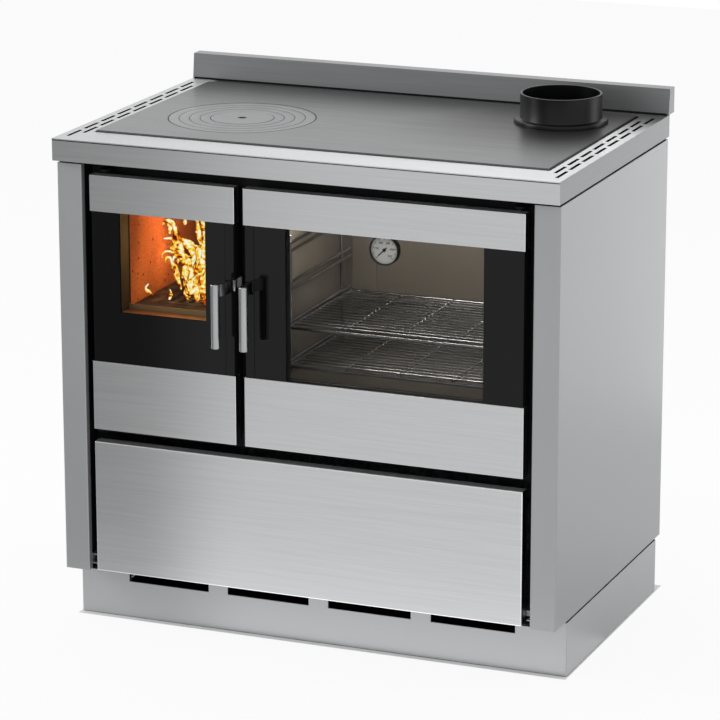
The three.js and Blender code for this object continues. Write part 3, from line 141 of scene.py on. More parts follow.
floor_mesh = bpy.data.meshes.new("floor")
FLOOR_REACH = 6
corners = ((-1, -1), (1, -1), (1, 1), (-1, 1))
floor_mesh.from_pydata(
    [(x * FLOOR_REACH, y * FLOOR_REACH, 0) for x, y in corners], [], [(0, 1, 2, 3)],
)
floor = bpy.data.objects.new("floor", floor_mesh)
scene.collection.objects.link(floor)
floor_paint, tree, surface = new_material("floor_paint")
white = add_node(tree, "Emission", Color=linear("#ffffff"), Strength=1.0)
path = add_node(tree, "LightPath")
# Under the cooker the floor is painted dark, as painted shade, and keeps its own shading, so that
# the slots look into the dark
UNDER_HALF_WIDTH, UNDER_FRONT = 0.445, -0.206
floor_axes = add_node(tree, "SeparateXYZ", Vector=add_node(tree, "TexCoord")["Object"])
from_middle = add_node(tree, "Math", operation="ABSOLUTE", _0=floor_axes["X"])
between = add_node(tree, "Math", operation="LESS_THAN", _0=from_middle[0], _1=UNDER_HALF_WIDTH)
inside = add_node(tree, "Math", operation="GREATER_THAN", _0=floor_axes["Y"], _1=UNDER_FRONT)
deep = add_node(tree, "MapRange", Value=floor_axes["Y"], _1=0.08, _2=0.26, _3=1.0, _4=0.0)
painted_shade_under_cooker = add_node(tree, "Math", operation="MULTIPLY", _0=between[0], _1=inside[0])
painted_shade_under_cooker = add_node(tree, "Math", operation="MULTIPLY", _0=painted_shade_under_cooker[0], _1=deep[0])
floor_tone = add_node(
    tree, "Mix", data_type="RGBA", Factor=painted_shade_under_cooker[0], _6=linear("#f4f4f4"), _7=linear("#1c1c1c"),
)
matt = add_node(tree, "BsdfDiffuse", Color=floor_tone["Result"])
clear_of_cooker = 0.0
for axis, middle, half in (("X", 0.0, 0.45), ("Y", 0.04, 0.26)):
    offset = add_node(tree, "Math", operation="SUBTRACT", _0=floor_axes[axis], _1=middle)
    distance = add_node(tree, "Math", operation="ABSOLUTE", _0=offset[0])
    beyond = add_node(tree, "Math", operation="GREATER_THAN", _0=distance[0], _1=half)
    clear_of_cooker = add_node(
        tree, "Math", operation="MAXIMUM", _0=clear_of_cooker, _1=beyond[0],
    )[0]
seen = add_node(tree, "Math", operation="MULTIPLY", _0=path["Is Camera Ray"], _1=0.9)
whitened = add_node(tree, "Math", operation="MULTIPLY", _0=seen[0], _1=clear_of_cooker)
floor_shader = add_node(tree, "MixShader", _0=whitened[0], _1=matt[0], _2=white[0])
# In polished faces the floor shows the same screen and the same white as the room around it
FIRE_DOOR_EDGE = (-0.24, -0.28, 0)
place = add_node(
    tree, "VectorMath", operation="SUBTRACT",
    _0=add_node(tree, "TexCoord")["Object"], _1=FIRE_DOOR_EDGE,
)
ahead = add_node(tree, "Math", operation="LESS_THAN", _0=floor_axes["Y"], _1=0.0)
aside = add_node(tree, "MapRange", Value=floor_axes["Y"], _1=-0.1, _2=0.6, _3=0.45, _4=0.85)
mirrored_tone = add_node(
    tree, "Mix", data_type="FLOAT",
    Factor=ahead[0], _2=aside[0], _3=front_screen(tree, place[0], 0.09),
)
# A lit card lies on the right, and the floor is lit close in front: they edge the folds in light
card = add_node(
    tree, "MapRange", interpolation_type="SMOOTHSTEP",
    Value=floor_axes["X"], _1=0.6, _2=0.8, _3=0.0, _4=0.15,
)
card = add_node(tree, "Math", operation="MULTIPLY", _0=card[0], _1=ahead[0])
close = add_node(
    tree, "MapRange", interpolation_type="SMOOTHSTEP",
    Value=floor_axes["Y"], _1=-0.62, _2=-0.38, _3=0.0, _4=0.55,
)
close = add_node(tree, "Math", operation="MULTIPLY", _0=close[0], _1=ahead[0])
beside = add_node(tree, "Math", operation="LESS_THAN", _0=floor_axes["X"], _1=0.44)
close = add_node(tree, "Math", operation="MULTIPLY", _0=close[0], _1=beside[0])
edging = add_node(tree, "Math", operation="MAXIMUM", _0=card[0], _1=close[0])
mirrored_tone = add_node(tree, "Math", operation="ADD", _0=mirrored_tone[0], _1=edging[0])
mirrored = add_node(tree, "Emission", Color=linear("#ffffff"), Strength=mirrored_tone[0])
in_gloss = add_node(
    tree, "Math", operation="MULTIPLY", _0=path["Is Glossy Ray"], _1=clear_of_cooker,
)
floor_shader = add_node(tree, "MixShader", _0=in_gloss[0], _1=floor_shader[0], _2=mirrored[0])
tree.links.new(floor_shader[0], surface)
floor_mesh.materials.append(floor_paint)


def soft_box(name, place, target, size, power, colour="#ffffff"):
    """A rectangular lamp, in watts, at a place and turned to a target."""
    light = bpy.data.lights.new(name, "AREA")
    light.shape = "RECTANGLE"
    light.size, light.size_y = size
    light.energy = power
    light.color = linear(colour)[:3]
    lamp = bpy.data.objects.new(name, light)
    scene.collection.objects.link(lamp)
    lamp.location = place
    aim = Vector(target) - Vector(place)
    lamp.rotation_euler = aim.to_track_quat("-Z", "Y").to_euler()
    lamp.visible_camera = False


soft_box("key_lamp", (-3.6, -1.8, 2.2), (-0.2, 0, 0.45), (1.8, 1.8), 60)
soft_box("right_lamp", (2.6, 1.6, 1.2), (0.45, 0.2, 0.5), (1.2, 1.8), 12)
soft_box("strip_lamp", (0.75, 1.31, 0.6), (0.45, 0.28, 0.45), (0.16, 1.7), 1.6)
soft_box("top_lamp", (-0.4, 0.6, 3.4), (0, 0, 0.8), (2.0, 1.6), 18)

# ---------------------------------------------------------------- Levelling feet
# Four screw feet stand behind the plinth: a moulded pad, a threaded stem and a hexagonal nut
# under the base plate, made of zinc-plated steel and black nylon; all of it is finished in the
# black moulded nylon
MM = 0.001
FRONT_EDGE = 280.5


def at(x, y, z):
    """A point in millimetres, with Y from the worktop's front edge, in the frame's metres."""
    return Vector((x, y - FRONT_EDGE, z)) * MM


def smooth_by_angle(mesh, degrees=35):
    """Smooth shading that keeps edges sharper than the angle crisp."""
    mesh.shade_smooth()
    shape = bmesh.new()
    shape.from_mesh(mesh)
    limit = math.radians(degrees)
    for edge in shape.edges:
        edge.smooth = len(edge.link_faces) == 2 and edge.calc_face_angle(0) < limit
    shape.to_mesh(mesh)
    shape.free()


def hand_over(piece, body, replaced):
    """Says which body carries the piece and the nodes that it stands for."""
    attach(piece, body)
    if replaced:
        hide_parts(*replaced)
    return piece


def finish(name, shape, material, body, replaced=(), degrees=35):
    """Turns a bmesh into a piece with its finish, its body and the nodes that it stands for."""
    bmesh.ops.recalc_face_normals(shape, faces=shape.faces)
    mesh = bpy.data.meshes.new(name)
    shape.to_mesh(mesh)
    shape.free()
    mesh.materials.append(material)
    smooth_by_angle(mesh, degrees)
    piece = bpy.data.objects.new(name, mesh)
    scene.collection.objects.link(piece)
    return hand_over(piece, body, replaced)


def circle_points(radius, count):
    """Points round a circle about the origin, in millimetres."""
    turns = [2 * math.pi * step / count for step in range(count)]
    return [(radius * math.cos(turn), radius * math.sin(turn)) for turn in turns]


def skin(shape, rows):
    """Faces from each row of vertices to the next; a row that is all one point is a tip."""
    for lower, upper in zip(rows, rows[1:]):
        for step in range(len(lower)):
            following = (step + 1) % len(lower)
            corners = (lower[step], lower[following], upper[following], upper[step])
            corners = list(dict.fromkeys(corners))
            if len(corners) > 2:
                shape.faces.new(corners)


def add_turned(shape, profile, place, segments=64, ring=False, turn=Matrix()):
    """Turns a profile of radius and height about an axis; a ring's profile closes on itself."""
    move = Matrix.Translation(place) @ turn
    rows = []
    for radius, height in profile:
        if radius < 0.001:
            rows.append([shape.verts.new(move @ Vector((0, 0, height * MM)))] * segments)
        else:
            rows.append([
                shape.verts.new(move @ (Vector((x, y, height)) * MM))
                for x, y in circle_points(radius, segments)
            ])
    skin(shape, rows + rows[:1] if ring else rows)


def add_prism(shape, points, heights, place, turn=Matrix()):
    """A flat outline in millimetres made thick along an axis, at a place."""
    move = Matrix.Translation(place) @ turn
    rows = [
        [shape.verts.new(move @ Vector((x * MM, y * MM, z * MM))) for x, y in points]
        for z in heights
    ]
    skin(shape, rows)
    shape.faces.new(rows[0][::-1])
    shape.faces.new(rows[-1])


# Moulded nylon: fine spark-eroded grain that breaks up the highlight
moulded_nylon, tree, surface = new_material("black_moulded_nylon")
place = add_node(tree, "TexCoord")["Object"]
grain = add_node(tree, "TexNoise", Vector=place, Scale=1400, Detail=2)
relief = add_node(tree, "Bump", Strength=0.25, Distance=0.0002, Height=grain["Fac"])
shader = add_node(
    tree, "BsdfPrincipled", Base_Color=linear("#26262a"), Roughness=0.5, Normal=relief[0],
)
tree.links.new(shader[0], surface)

PAD_PROFILE = [(0, 0), (23.5, 0), (25, 1.2), (25, 3.6), (23.6, 4.8), (14, 6.6), (8, 8.0)]
STEM_RADIUS, STEM_TOP = 6.0, 84.6
THREAD_FOOT, THREAD_PITCH, THREAD_DEPTH = 9.0, 2.0, 0.7
NUT_RADIUS = 11
thread = []
height = THREAD_FOOT
while height < STEM_TOP - 0.6:
    thread += [(STEM_RADIUS, height), (STEM_RADIUS - THREAD_DEPTH, height + THREAD_PITCH / 2)]
    height += THREAD_PITCH
stem = [(STEM_RADIUS, 8.4)] + thread + [(STEM_RADIUS, STEM_TOP), (0, STEM_TOP)]
for name, x, y in (
    ("foot_front_left", -387.5, 133), ("foot_front_right", 387.5, 133),
    ("foot_rear_left", -387.5, 490), ("foot_rear_right", 387.5, 490),
):
    foot = bmesh.new()
    add_turned(foot, PAD_PROFILE + stem, at(x, y, 0), segments=40)
    # The nut's two chamfers are a little narrower than its flats
    for share, bottom, top in ((0.95, 84.9, 85.4), (1, 85.4, 94.4), (0.95, 94.4, 95.0)):
        add_prism(foot, circle_points(NUT_RADIUS * share, 6), (bottom, top), at(x, y, 0))
    finish(name + "_screw_foot", foot, moulded_nylon, "root", [name])

# ---------------------------------------------------------------- Base plate
# Flat galvanised sheet that closes the casing underneath and carries the feet; the zinc shows as
# dull grey spangle


def dissolved(node_name, convex=False):
    """The node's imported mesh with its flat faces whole, or in convex parts, ready for rounding."""
    shape = bmesh.new()
    shape.from_mesh(nodes[node_name].data)
    bmesh.ops.remove_doubles(shape, verts=shape.verts, dist=0.01 * MM)
    bmesh.ops.dissolve_limit(
        shape, angle_limit=math.radians(1), verts=shape.verts, edges=shape.edges,
    )
    if convex:
        bmesh.ops.connect_verts_concave(shape, faces=shape.faces)
    return shape


def bevelled(name, shape, material, **settings):
    """A piece with rounded edges, kept as a plain mesh whose large faces are shaded flat."""
    mesh = bpy.data.meshes.new(name)
    shape.to_mesh(mesh)
    shape.free()
    mesh.materials.append(material)
    mesh.shade_smooth()
    piece = bpy.data.objects.new(name, mesh)
    scene.collection.objects.link(piece)
    bevel = piece.modifiers.new("rounding", "BEVEL")
    for setting, value in settings.items():
        setattr(bevel, setting, value)
    flats = piece.modifiers.new("flat_faces", "WEIGHTED_NORMAL")
    flats.mode, flats.weight = "FACE_AREA", 90
    bpy.context.view_layer.update()
    graph = bpy.context.evaluated_depsgraph_get()
    piece.data = bpy.data.meshes.new_from_object(piece.evaluated_get(graph))
    piece.modifiers.clear()
    bpy.data.meshes.remove(mesh)
    return piece


def folded(node_name, material, body, sheet, bend, rim=0.3, convex=False):
    """The node as bent sheet metal: round outer bends, tighter inner ones and eased cut edges."""
    shape = dissolved(node_name, convex)
    weights = shape.edges.layers.float.new("bevel_weight_edge")
    widths = {face: 2 * face.calc_area() / face.calc_perimeter() for face in shape.faces}
    for edge in shape.edges:
        if len(edge.link_faces) != 2 or edge.calc_face_angle(0) < math.radians(32):
            continue
        if min(widths[face] for face in edge.link_faces) < sheet * MM * 1.3:
            edge[weights] = rim / bend
        elif edge.is_convex:
            edge[weights] = 1.0
        else:
            edge[weights] = max(rim, bend - sheet) / bend
    piece = bevelled(
        node_name + "_folded", shape, material, width=bend * MM, segments=3, limit_method="WEIGHT",
    )
    return hand_over(piece, body, [node_name])


# Hot-dip galvanised sheet: flat zinc crystals about 8 mm across, each a slightly different grey
galvanised, tree, surface = new_material("galvanised_sheet")
SPANGLE_MM = 8
place = add_node(tree, "TexCoord")["Object"]
crystals = add_node(tree, "TexVoronoi", feature="F1", Vector=place, Scale=1 / (SPANGLE_MM * MM))
shade = add_node(tree, "SeparateColor", Color=crystals["Color"])
tone = add_node(
    tree, "Mix", data_type="RGBA", Factor=shade[0], _6=linear("#8f9396"), _7=linear("#b3b6b8"),
)
gloss = add_node(tree, "MapRange", Value=shade[1], _3=0.34, _4=0.52)
shader = add_node(
    tree, "BsdfPrincipled", Base_Color=tone["Result"], Metallic=0.9, Roughness=gloss[0],
)
tree.links.new(shader[0], surface)

base_plate = folded("base_plate", galvanised, "root", sheet=2, bend=0.6)

# ---------------------------------------------------------------- Plinth and side panels
# Folded steel sheet with a satin grey stove paint: the plinth is a U with air slots, and each side
# panel is one sheet with the front pillar and the rear flange bent out of it. Hidden spot welds

# Stove paint sprayed on sheet: an orange-peel skin about 3 mm across gives a soft satin sheen
PEEL_MM = 3


def satin_paint(name, dark, light):
    """A satin stove paint that drifts between two close tones."""
    material, tree, surface = new_material(name)
    place = add_node(tree, "TexCoord")["Object"]
    peel = add_node(tree, "TexNoise", Vector=place, Scale=1 / (PEEL_MM * MM), Detail=2)
    clouds = add_node(tree, "TexNoise", Vector=place, Scale=5, Detail=3)
    tone = add_node(
        tree, "Mix", data_type="RGBA", Factor=clouds["Fac"], _6=linear(dark), _7=linear(light),
    )
    gloss = add_node(tree, "MapRange", Value=clouds["Fac"], _3=0.36, _4=0.44)
    relief = add_node(tree, "Bump", Strength=0.08, Distance=0.0003, Height=peel["Fac"])
    shader = add_node(
        tree, "BsdfPrincipled",
        Base_Color=tone["Result"], Metallic=0.5, Roughness=gloss[0], Normal=relief[0],
    )
    tree.links.new(shader[0], surface)
    return material


panel_paint = satin_paint("satin_grey_stove_paint", "#a8aaab", "#afb1b2")
plinth_paint = satin_paint("light_grey_stove_paint", "#b6b8b9", "#bcbebf")
folded("plinth", plinth_paint, "root", sheet=2, bend=2.2)
for name in ("side_panel_left", "side_panel_right"):
    folded(name, panel_paint, "root", sheet=2, bend=2.2)

# ---------------------------------------------------------------- Rear panel and its screws
# Galvanised closing sheet with two rows of air slots, held to the side flanges by hexagon-head
# sheet-metal screws with pressed washers
folded("rear_panel", galvanised, "root", sheet=2, bend=0.6)


def even_finish(name, colour, roughness, **sockets):
    """A finish that is the same all over: a plating or a gloss enamel."""
    material, tree, surface = new_material(name)
    shader = add_node(
        tree, "BsdfPrincipled", Base_Color=linear(colour), Roughness=roughness, **sockets,
    )
    tree.links.new(shader[0], surface)
    return material


# Zinc-plated steel screws: brighter and smoother than the sheet
zinc_plate = even_finish("zinc_plated_steel", "#b9bbbd", 0.28, Metallic=1.0)

screws = bmesh.new()
REAR_FACE, SCREW_X, HEAD_RADIUS = 568, 433, 4.2
# Turned so that heights run towards the front
UPRIGHT = Matrix.Rotation(math.radians(90), 4, "X")
for x in (-SCREW_X, SCREW_X):
    for z in (140, 290, 440, 590, 740):
        # The washer, the hexagon and its chamfer
        for share, rear, front in ((1.35, -1.0, -0.2), (1, -3.6, -1.0), (0.88, -4.2, -3.6)):
            head = circle_points(HEAD_RADIUS * share, 6)
            add_prism(screws, head, (rear, front), at(x, REAR_FACE, z), UPRIGHT)
finish("rear_panel_screws", screws, zinc_plate, "root")

# ---------------------------------------------------------------- Front frame
# Folded black steel frame behind the doors, with the mouths of firebox, ash space and oven and
# the welded keeper that the latches hook behind

# Silicone heat-resistant paint: matt black with a fine dusty grain


def black_paint(name, colour, roughness, grain_mm, gloss_share=0.5):
    """A matt black stove paint with grain of the given size."""
    material, tree, surface = new_material(name)
    place = add_node(tree, "TexCoord")["Object"]
    grain = add_node(tree, "TexNoise", Vector=place, Scale=1 / (grain_mm * MM), Detail=3)
    gloss = add_node(tree, "MapRange", Value=grain["Fac"], _3=roughness - 0.08, _4=roughness + 0.08)
    relief = add_node(tree, "Bump", Strength=0.15, Distance=0.0003, Height=grain["Fac"])
    shader = add_node(
        tree, "BsdfPrincipled", Base_Color=linear(colour), Roughness=gloss[0], Normal=relief[0],
        Specular_IOR_Level=gloss_share,
    )
    tree.links.new(shader[0], surface)
    return material


heat_paint = black_paint("matt_black_heat_paint", "#131315", 0.62, 1.5, gloss_share=0.3)
folded("front_frame", heat_paint, "root", sheet=2.5, bend=1.5)

# ---------------------------------------------------------------- Stove shell
# Welded box of 4 mm plate that carries firebox, flue and oven. It is painted in the same
# heat-resistant black
folded("stove_shell", heat_paint, "root", sheet=4, bend=1.2)

# ---------------------------------------------------------------- Fire bed, grate and baffle
# Grey iron castings that lie loose in the firebox. The sand of the mould leaves a pebbled skin,
# and ash dust lies in it
sand_cast_iron, tree, surface = new_material("sand_cast_iron")
SAND_MM = 1.6
place = add_node(tree, "TexCoord")["Object"]
pebbles = add_node(tree, "TexNoise", Vector=place, Scale=1 / (SAND_MM * MM), Detail=4)
ash = add_node(tree, "TexNoise", Vector=place, Scale=28, Detail=4)
dusted = add_node(tree, "MapRange", Value=ash["Fac"], _1=0.5, _2=0.75)
tone = add_node(
    tree, "Mix", data_type="RGBA", Factor=dusted[0], _6=linear("#2d2c2c"), _7=linear("#6b6762"),
)
relief = add_node(tree, "Bump", Strength=0.6, Distance=0.0006, Height=pebbles["Fac"])
shader = add_node(
    tree, "BsdfPrincipled", Base_Color=tone["Result"], Roughness=0.75, Normal=relief[0],
)
tree.links.new(shader[0], surface)


def eased(node_name, material, body, radius, segments=2, degrees=30):
    """The node with all of its sharp edges rounded to one radius, in millimetres."""
    piece = bevelled(
        node_name + "_eased", dissolved(node_name), material, width=radius * MM,
        segments=segments, limit_method="ANGLE", angle_limit=math.radians(degrees),
    )
    return hand_over(piece, body, [node_name])


for name, radius in (("fire_bed", 1.5), ("fire_grate", 1.8), ("baffle_plate", 1.5)):
    eased(name, sand_cast_iron, "root", radius, segments=3)

# ---------------------------------------------------------------- Fire bricks
# Pressed vermiculite boards, 35 mm thick, that stand loose round the fire: tan flakes with open
# pits, which are painted dark as their shade, and the boards grow darker in blotches towards the
# rear
vermiculite, tree, surface = new_material("pressed_vermiculite")
FLAKE_MM, PIT_MM = 2.2, 15
place = add_node(tree, "TexCoord")["Object"]
flakes = add_node(tree, "TexVoronoi", Vector=place, Scale=1 / (FLAKE_MM * MM))
flake_tone = add_node(tree, "SeparateColor", Color=flakes["Color"])
board = add_node(
    tree, "Mix", data_type="RGBA", Factor=flake_tone[0], _6=linear("#b06a3c"), _7=linear("#cc8650"),
)
pits = add_node(tree, "TexVoronoi", Vector=place, Scale=1 / (PIT_MM * MM), Randomness=1.0)
pit_depth = add_node(tree, "MapRange", Value=pits["Distance"], _1=0.12, _2=0.17)
pits_shaded = add_node(
    tree, "Mix", data_type="RGBA", Factor=pit_depth[0], _6=linear("#3a1c0f"), _7=board["Result"],
)
depth = add_node(tree, "SeparateXYZ", Vector=place)
darkening = add_node(tree, "TexNoise", Vector=place, Scale=14, Detail=4)
depth_and_blotches = add_node(
    tree, "Math", operation="MULTIPLY_ADD", _0=darkening["Fac"], _1=0.12, _2=depth["Y"],
)
rear_darkened = add_node(tree, "MapRange", Value=depth_and_blotches[0], _1=0.0, _2=0.3)
tone = add_node(
    tree, "Mix", data_type="RGBA", Factor=rear_darkened[0], _6=pits_shaded["Result"], _7=linear("#2c1f18"),
)
relief = add_node(tree, "Bump", Strength=0.8, Distance=0.0012, Height=pit_depth[0])
relief = add_node(
    tree, "Bump", Strength=0.35, Distance=0.0004, Height=flakes["Distance"], Normal=relief[0],
)
shader = add_node(
    tree, "BsdfPrincipled", Base_Color=tone["Result"], Roughness=0.95, Normal=relief[0],
)
tree.links.new(shader[0], surface)

for name in ("fire_brick_left", "fire_brick_right", "fire_brick_back"):
    eased(name, vermiculite, "root", 2.0, segments=3)

# ---------------------------------------------------------------- Ash pan
# Drawer of folded galvanised sheet on two skids under the grate. It slides out by hand, and its
# rim is rolled over a wire
folded("ash_pan", galvanised, "root", sheet=2, bend=1.2)

# ---------------------------------------------------------------- Air slide
# Black slotted plate in front of three air holes. A turned, zinc-plated knob is riveted to it to
# push it by
eased("air_slide", heat_paint, "air_slide", 0.5)
knob = bmesh.new()
KNOB_PROFILE = [(0, 2), (4.2, 2), (4.2, 4), (5.6, 5.2), (6.9, 7), (6.9, 8.6), (6.2, 9.0), (0, 9.0)]
add_turned(knob, KNOB_PROFILE, at(-236, 57.7, 516.5), segments=40, turn=UPRIGHT)
finish("air_slide_knob", knob, zinc_plate, "air_slide")

# ---------------------------------------------------------------- Oven box
# Pressed steel liner with a panel embossed in its back, coated in dark speckled enamel and
# held by the front frame

# Vitreous enamel: a glassy brown-grey ground with fine pale specks under it
speckled_enamel, tree, surface = new_material("speckled_vitreous_enamel")
SPECK_MM = 2.4
place = add_node(tree, "TexCoord")["Object"]
specks = add_node(tree, "TexVoronoi", Vector=place, Scale=1 / (SPECK_MM * MM))
speck_cover = add_node(tree, "MapRange", Value=specks["Distance"], _1=0.16, _2=0.1)
ground = add_node(tree, "TexNoise", Vector=place, Scale=9, Detail=2)
ground_tone = add_node(
    tree, "Mix", data_type="RGBA", Factor=ground["Fac"], _6=linear("#57534c"), _7=linear("#666158"),
)
tone = add_node(
    tree, "Mix", data_type="RGBA",
    Factor=speck_cover[0], _6=ground_tone["Result"], _7=linear("#7d766b"),
)
shader = add_node(
    tree, "BsdfPrincipled",
    Base_Color=tone["Result"], Roughness=0.42, Coat_Weight=0.2, Coat_Roughness=0.15,
)
tree.links.new(shader[0], surface)
folded("oven_box", speckled_enamel, "root", sheet=2, bend=3, rim=0.4)

# ---------------------------------------------------------------- Rack ladders
# Steel wire ladders on both oven walls: pairs of rods that a rack slides between, welded to two
# upright posts and chrome-plated

# Chrome plate: slightly bluish and smooth, dulled a little by the oven's heat
chrome_wire = even_finish("chrome_plated_wire", "#97999b", 0.24, Metallic=1.0)


def add_wire(shape, radius, start, end, segments=16):
    """A round wire between two points, with domed ends, all in metres but the radius."""
    along = end - start
    angles = [k * math.pi / 8 for k in range(5)]
    dome = [(radius * math.sin(angle), radius * (1 - math.cos(angle))) for angle in angles]
    length = along.length / MM
    profile = dome + [(reach, length - height) for reach, height in reversed(dome)]
    turn = along.to_track_quat("Z", "Y").to_matrix().to_4x4()
    add_turned(shape, profile, start, segments, turn=turn)


OVEN_LEFT, OVEN_RIGHT, OVEN_FLOOR = -64.5, 345.5, 468
LADDER_WIRE, LADDER_FRONT, LADDER_REAR = 2.5, 70.8, 350.8
LADDER_FIRST, LADDER_PITCH, LADDER_PAIR = 24, 67, 13
POST_TOP, POSTS_Y = 706, (98.8, 322.8)
for side, x, to_wall in (("left", OVEN_LEFT + 10, -1), ("right", OVEN_RIGHT - 10, 1)):
    ladder = bmesh.new()
    for level in range(4):
        upper = OVEN_FLOOR + LADDER_FIRST + level * LADDER_PITCH
        for z in (upper, upper - LADDER_PAIR):
            add_wire(ladder, LADDER_WIRE, at(x, LADDER_FRONT, z), at(x, LADDER_REAR, z))
    for y in POSTS_Y:
        post_x = x + to_wall * LADDER_WIRE * 1.7
        add_wire(ladder, LADDER_WIRE, at(post_x, y, OVEN_FLOOR + 0.3), at(post_x, y, POST_TOP))
    name = "rack_ladder_" + side
    finish(name + "_wires", ladder, chrome_wire, "root", [name])

# ---------------------------------------------------------------- Oven racks
# Two racks welded from chrome-plated wire, each laid between the rods of a ladder: a thick frame,
# three ribs from front to back and thin cross wires on top
RACK_FRAME, RACK_RIB, RACK_WIRE, RACK_WIRES = 3, 2.7, 1.6, 15
left, right = OVEN_LEFT + 12, OVEN_RIGHT - 12
front, rear = LADDER_FRONT + RACK_FRAME, LADDER_REAR - RACK_FRAME
rib_pitch = (right - left) / 4
wire_pitch = (LADDER_REAR - LADDER_FRONT - 4 * RACK_FRAME) / (RACK_WIRES + 1)
for level in (0, 1):
    rack = bmesh.new()
    lower_rod = OVEN_FLOOR + LADDER_FIRST + level * LADDER_PITCH - LADDER_PAIR
    z = lower_rod + LADDER_WIRE + 0.3 + RACK_FRAME
    for x in (left, right):
        add_wire(rack, RACK_FRAME, at(x, LADDER_FRONT, z), at(x, LADDER_REAR, z))
    for y in (front, rear):
        add_wire(rack, RACK_FRAME, at(left, y, z), at(right, y, z))
    for step in (-1, 0, 1):
        x = (OVEN_LEFT + OVEN_RIGHT) / 2 + step * rib_pitch
        add_wire(rack, RACK_RIB, at(x, front - 2, z - 0.3), at(x, rear + 2, z - 0.3))
    for step in range(RACK_WIRES):
        y = (LADDER_FRONT + LADDER_REAR) / 2 + (step - RACK_WIRES // 2) * wire_pitch
        add_wire(rack, RACK_WIRE, at(left, y, z + 2.2), at(right, y, z + 2.2), segments=10)
    name = f"oven_rack_{level + 1}"
    finish(name + "_wires", rack, chrome_wire, "root", [name])

# ---------------------------------------------------------------- Drawer runners
# Roll-formed C channels of galvanised steel, one on each side, screwed to the front frame and
# the casing
for side in ("left", "right"):
    folded("drawer_runner_" + side, galvanised, "root", sheet=2, bend=0.8)

# ---------------------------------------------------------------- Worktop
# One pressed sheet of brushed stainless steel: a deep apron turned down at the front and sides,
# an opening for the hob, and two rows of staggered air slots along each side

# Stainless steel brushed along its length: the belt leaves fine scratches that draw every
# reflection out across them. Real scratches are under 0.1 mm, so they are drawn wider to show


def brushed_steel(
    name, colour, roughness, along, scratch_mm=1.5, streak_mm=120, stretched_gloss=0.0,
    rear_shade=False, scratch_depth=0.03,
):
    """Brushed steel with scratches along one axis, 0 for X and 2 for Z. Its colour can be darkened
    towards the rear as painted shade."""
    material, tree, surface = new_material(name)
    place = add_node(tree, "TexCoord")["Object"]
    scale = [1 / (scratch_mm * MM)] * 3
    scale[along] = 1 / (streak_mm * MM)
    stretched = add_node(tree, "Mapping", Vector=place, Scale=scale)
    scratches = add_node(tree, "TexNoise", Vector=stretched[0], Scale=1, Detail=3)
    wide = [part / (1.5 if axis == along else 3) for axis, part in enumerate(scale)]
    coarse = add_node(tree, "Mapping", Vector=place, Scale=wide)
    streaks = add_node(tree, "TexNoise", Vector=coarse[0], Scale=1, Detail=2)
    both = add_node(tree, "Math", operation="ADD", _0=scratches["Fac"], _1=streaks["Fac"])
    gloss = add_node(
        tree, "MapRange", Value=both[0], _1=0.7, _2=1.3, _3=roughness - 0.02, _4=roughness + 0.02,
    )
    dark, light = [
        tuple(min(1, part * share) for part in linear(colour)[:3]) + (1,) for share in (0.95, 1.04)
    ]
    grain = add_node(tree, "MapRange", Value=both[0], _1=0.75, _2=1.25)
    tone = add_node(tree, "Mix", data_type="RGBA", Factor=grain[0], _6=dark, _7=light)
    if rear_shade:
        # Painted shade for the dark splash guard that the top mirrors: bright up to the hob's left
        # edge, and darker more and more from the middle to the rear
        REAR_SHADE_FROM = (("X", -0.409, -0.395), ("Y", 0.06, 0.262))
        plan = add_node(tree, "SeparateXYZ", Vector=place)
        rear_darkening = 1.0
        for axis, low, high in REAR_SHADE_FROM:
            share = add_node(
                tree, "MapRange", interpolation_type="SMOOTHSTEP",
                Value=plan[axis], _1=low, _2=high, _3=0.0, _4=0.95,
            )
            rear_darkening = add_node(tree, "Math", operation="MULTIPLY", _0=rear_darkening, _1=share[0])[0]
        tone = add_node(
            tree, "Mix", data_type="RGBA", Factor=rear_darkening, _6=tone["Result"], _7=linear("#3c3c3d"),
        )
    relief = add_node(
        tree, "Bump", Strength=scratch_depth, Distance=0.0002, Height=scratches["Fac"],
    )
    shader = add_node(
        tree, "BsdfPrincipled", Base_Color=tone["Result"], Metallic=1.0, Roughness=gloss[0],
        Normal=relief[0], Anisotropic=stretched_gloss,
    )
    if stretched_gloss:
        across_grain = add_node(tree, "Tangent", direction_type="UV_MAP", uv_map="across_grain")
        tree.links.new(across_grain[0], shader[0].node.inputs["Tangent"])
    tree.links.new(shader[0], surface)
    return material


def lay_grain(piece):
    """A UV map whose U runs across the scratches of steel brushed along X, or Y at its ends."""
    mesh = piece.data
    layer = mesh.uv_layers.new(name="across_grain")
    for polygon in mesh.polygons:
        flat = abs(polygon.normal.z) > 0.7
        sideways = abs(polygon.normal.x) > 0.7
        for loop in polygon.loop_indices:
            point = mesh.vertices[mesh.loops[loop].vertex_index].co
            across = point.y if flat else point.z
            layer.data[loop].uv = (across, -point.y if sideways else point.x)
    return piece


def refinish(piece, material, chosen):
    """Gives the piece's faces that are chosen another material; chosen looks at one face."""
    piece.data.materials.append(material)
    index = len(piece.data.materials) - 1
    for polygon in piece.data.polygons:
        if chosen(polygon):
            polygon.material_index = index


brushed_along_x = brushed_steel(
    "brushed_stainless_sheet", "#d2d3d4", 0.32, along=0, stretched_gloss=0.95,
)
# The worktop's copy is darkened towards the rear as painted shade
rear_shaded_along_x = brushed_steel(
    "rear_shaded_stainless_sheet", "#d2d3d4", 0.32, along=0, stretched_gloss=0.95, rear_shade=True,
)
worktop = lay_grain(folded("worktop", rear_shaded_along_x, "root", sheet=2, bend=1.8))


def seam_or_cut_edge(polygon):
    """Whether a face of the worktop lies in the apron's seam or is the cut edge of an opening."""
    x, y, z = polygon.center / MM
    y += FRONT_EDGE
    in_seam = 854.5 < z < 856.1 and 0.6 < y < 5
    over_top = 855.9 < z < 857.9 and abs(x) < 444 and 20 < y < 560
    return in_seam or (over_top and abs(polygon.normal.z) < 0.5)
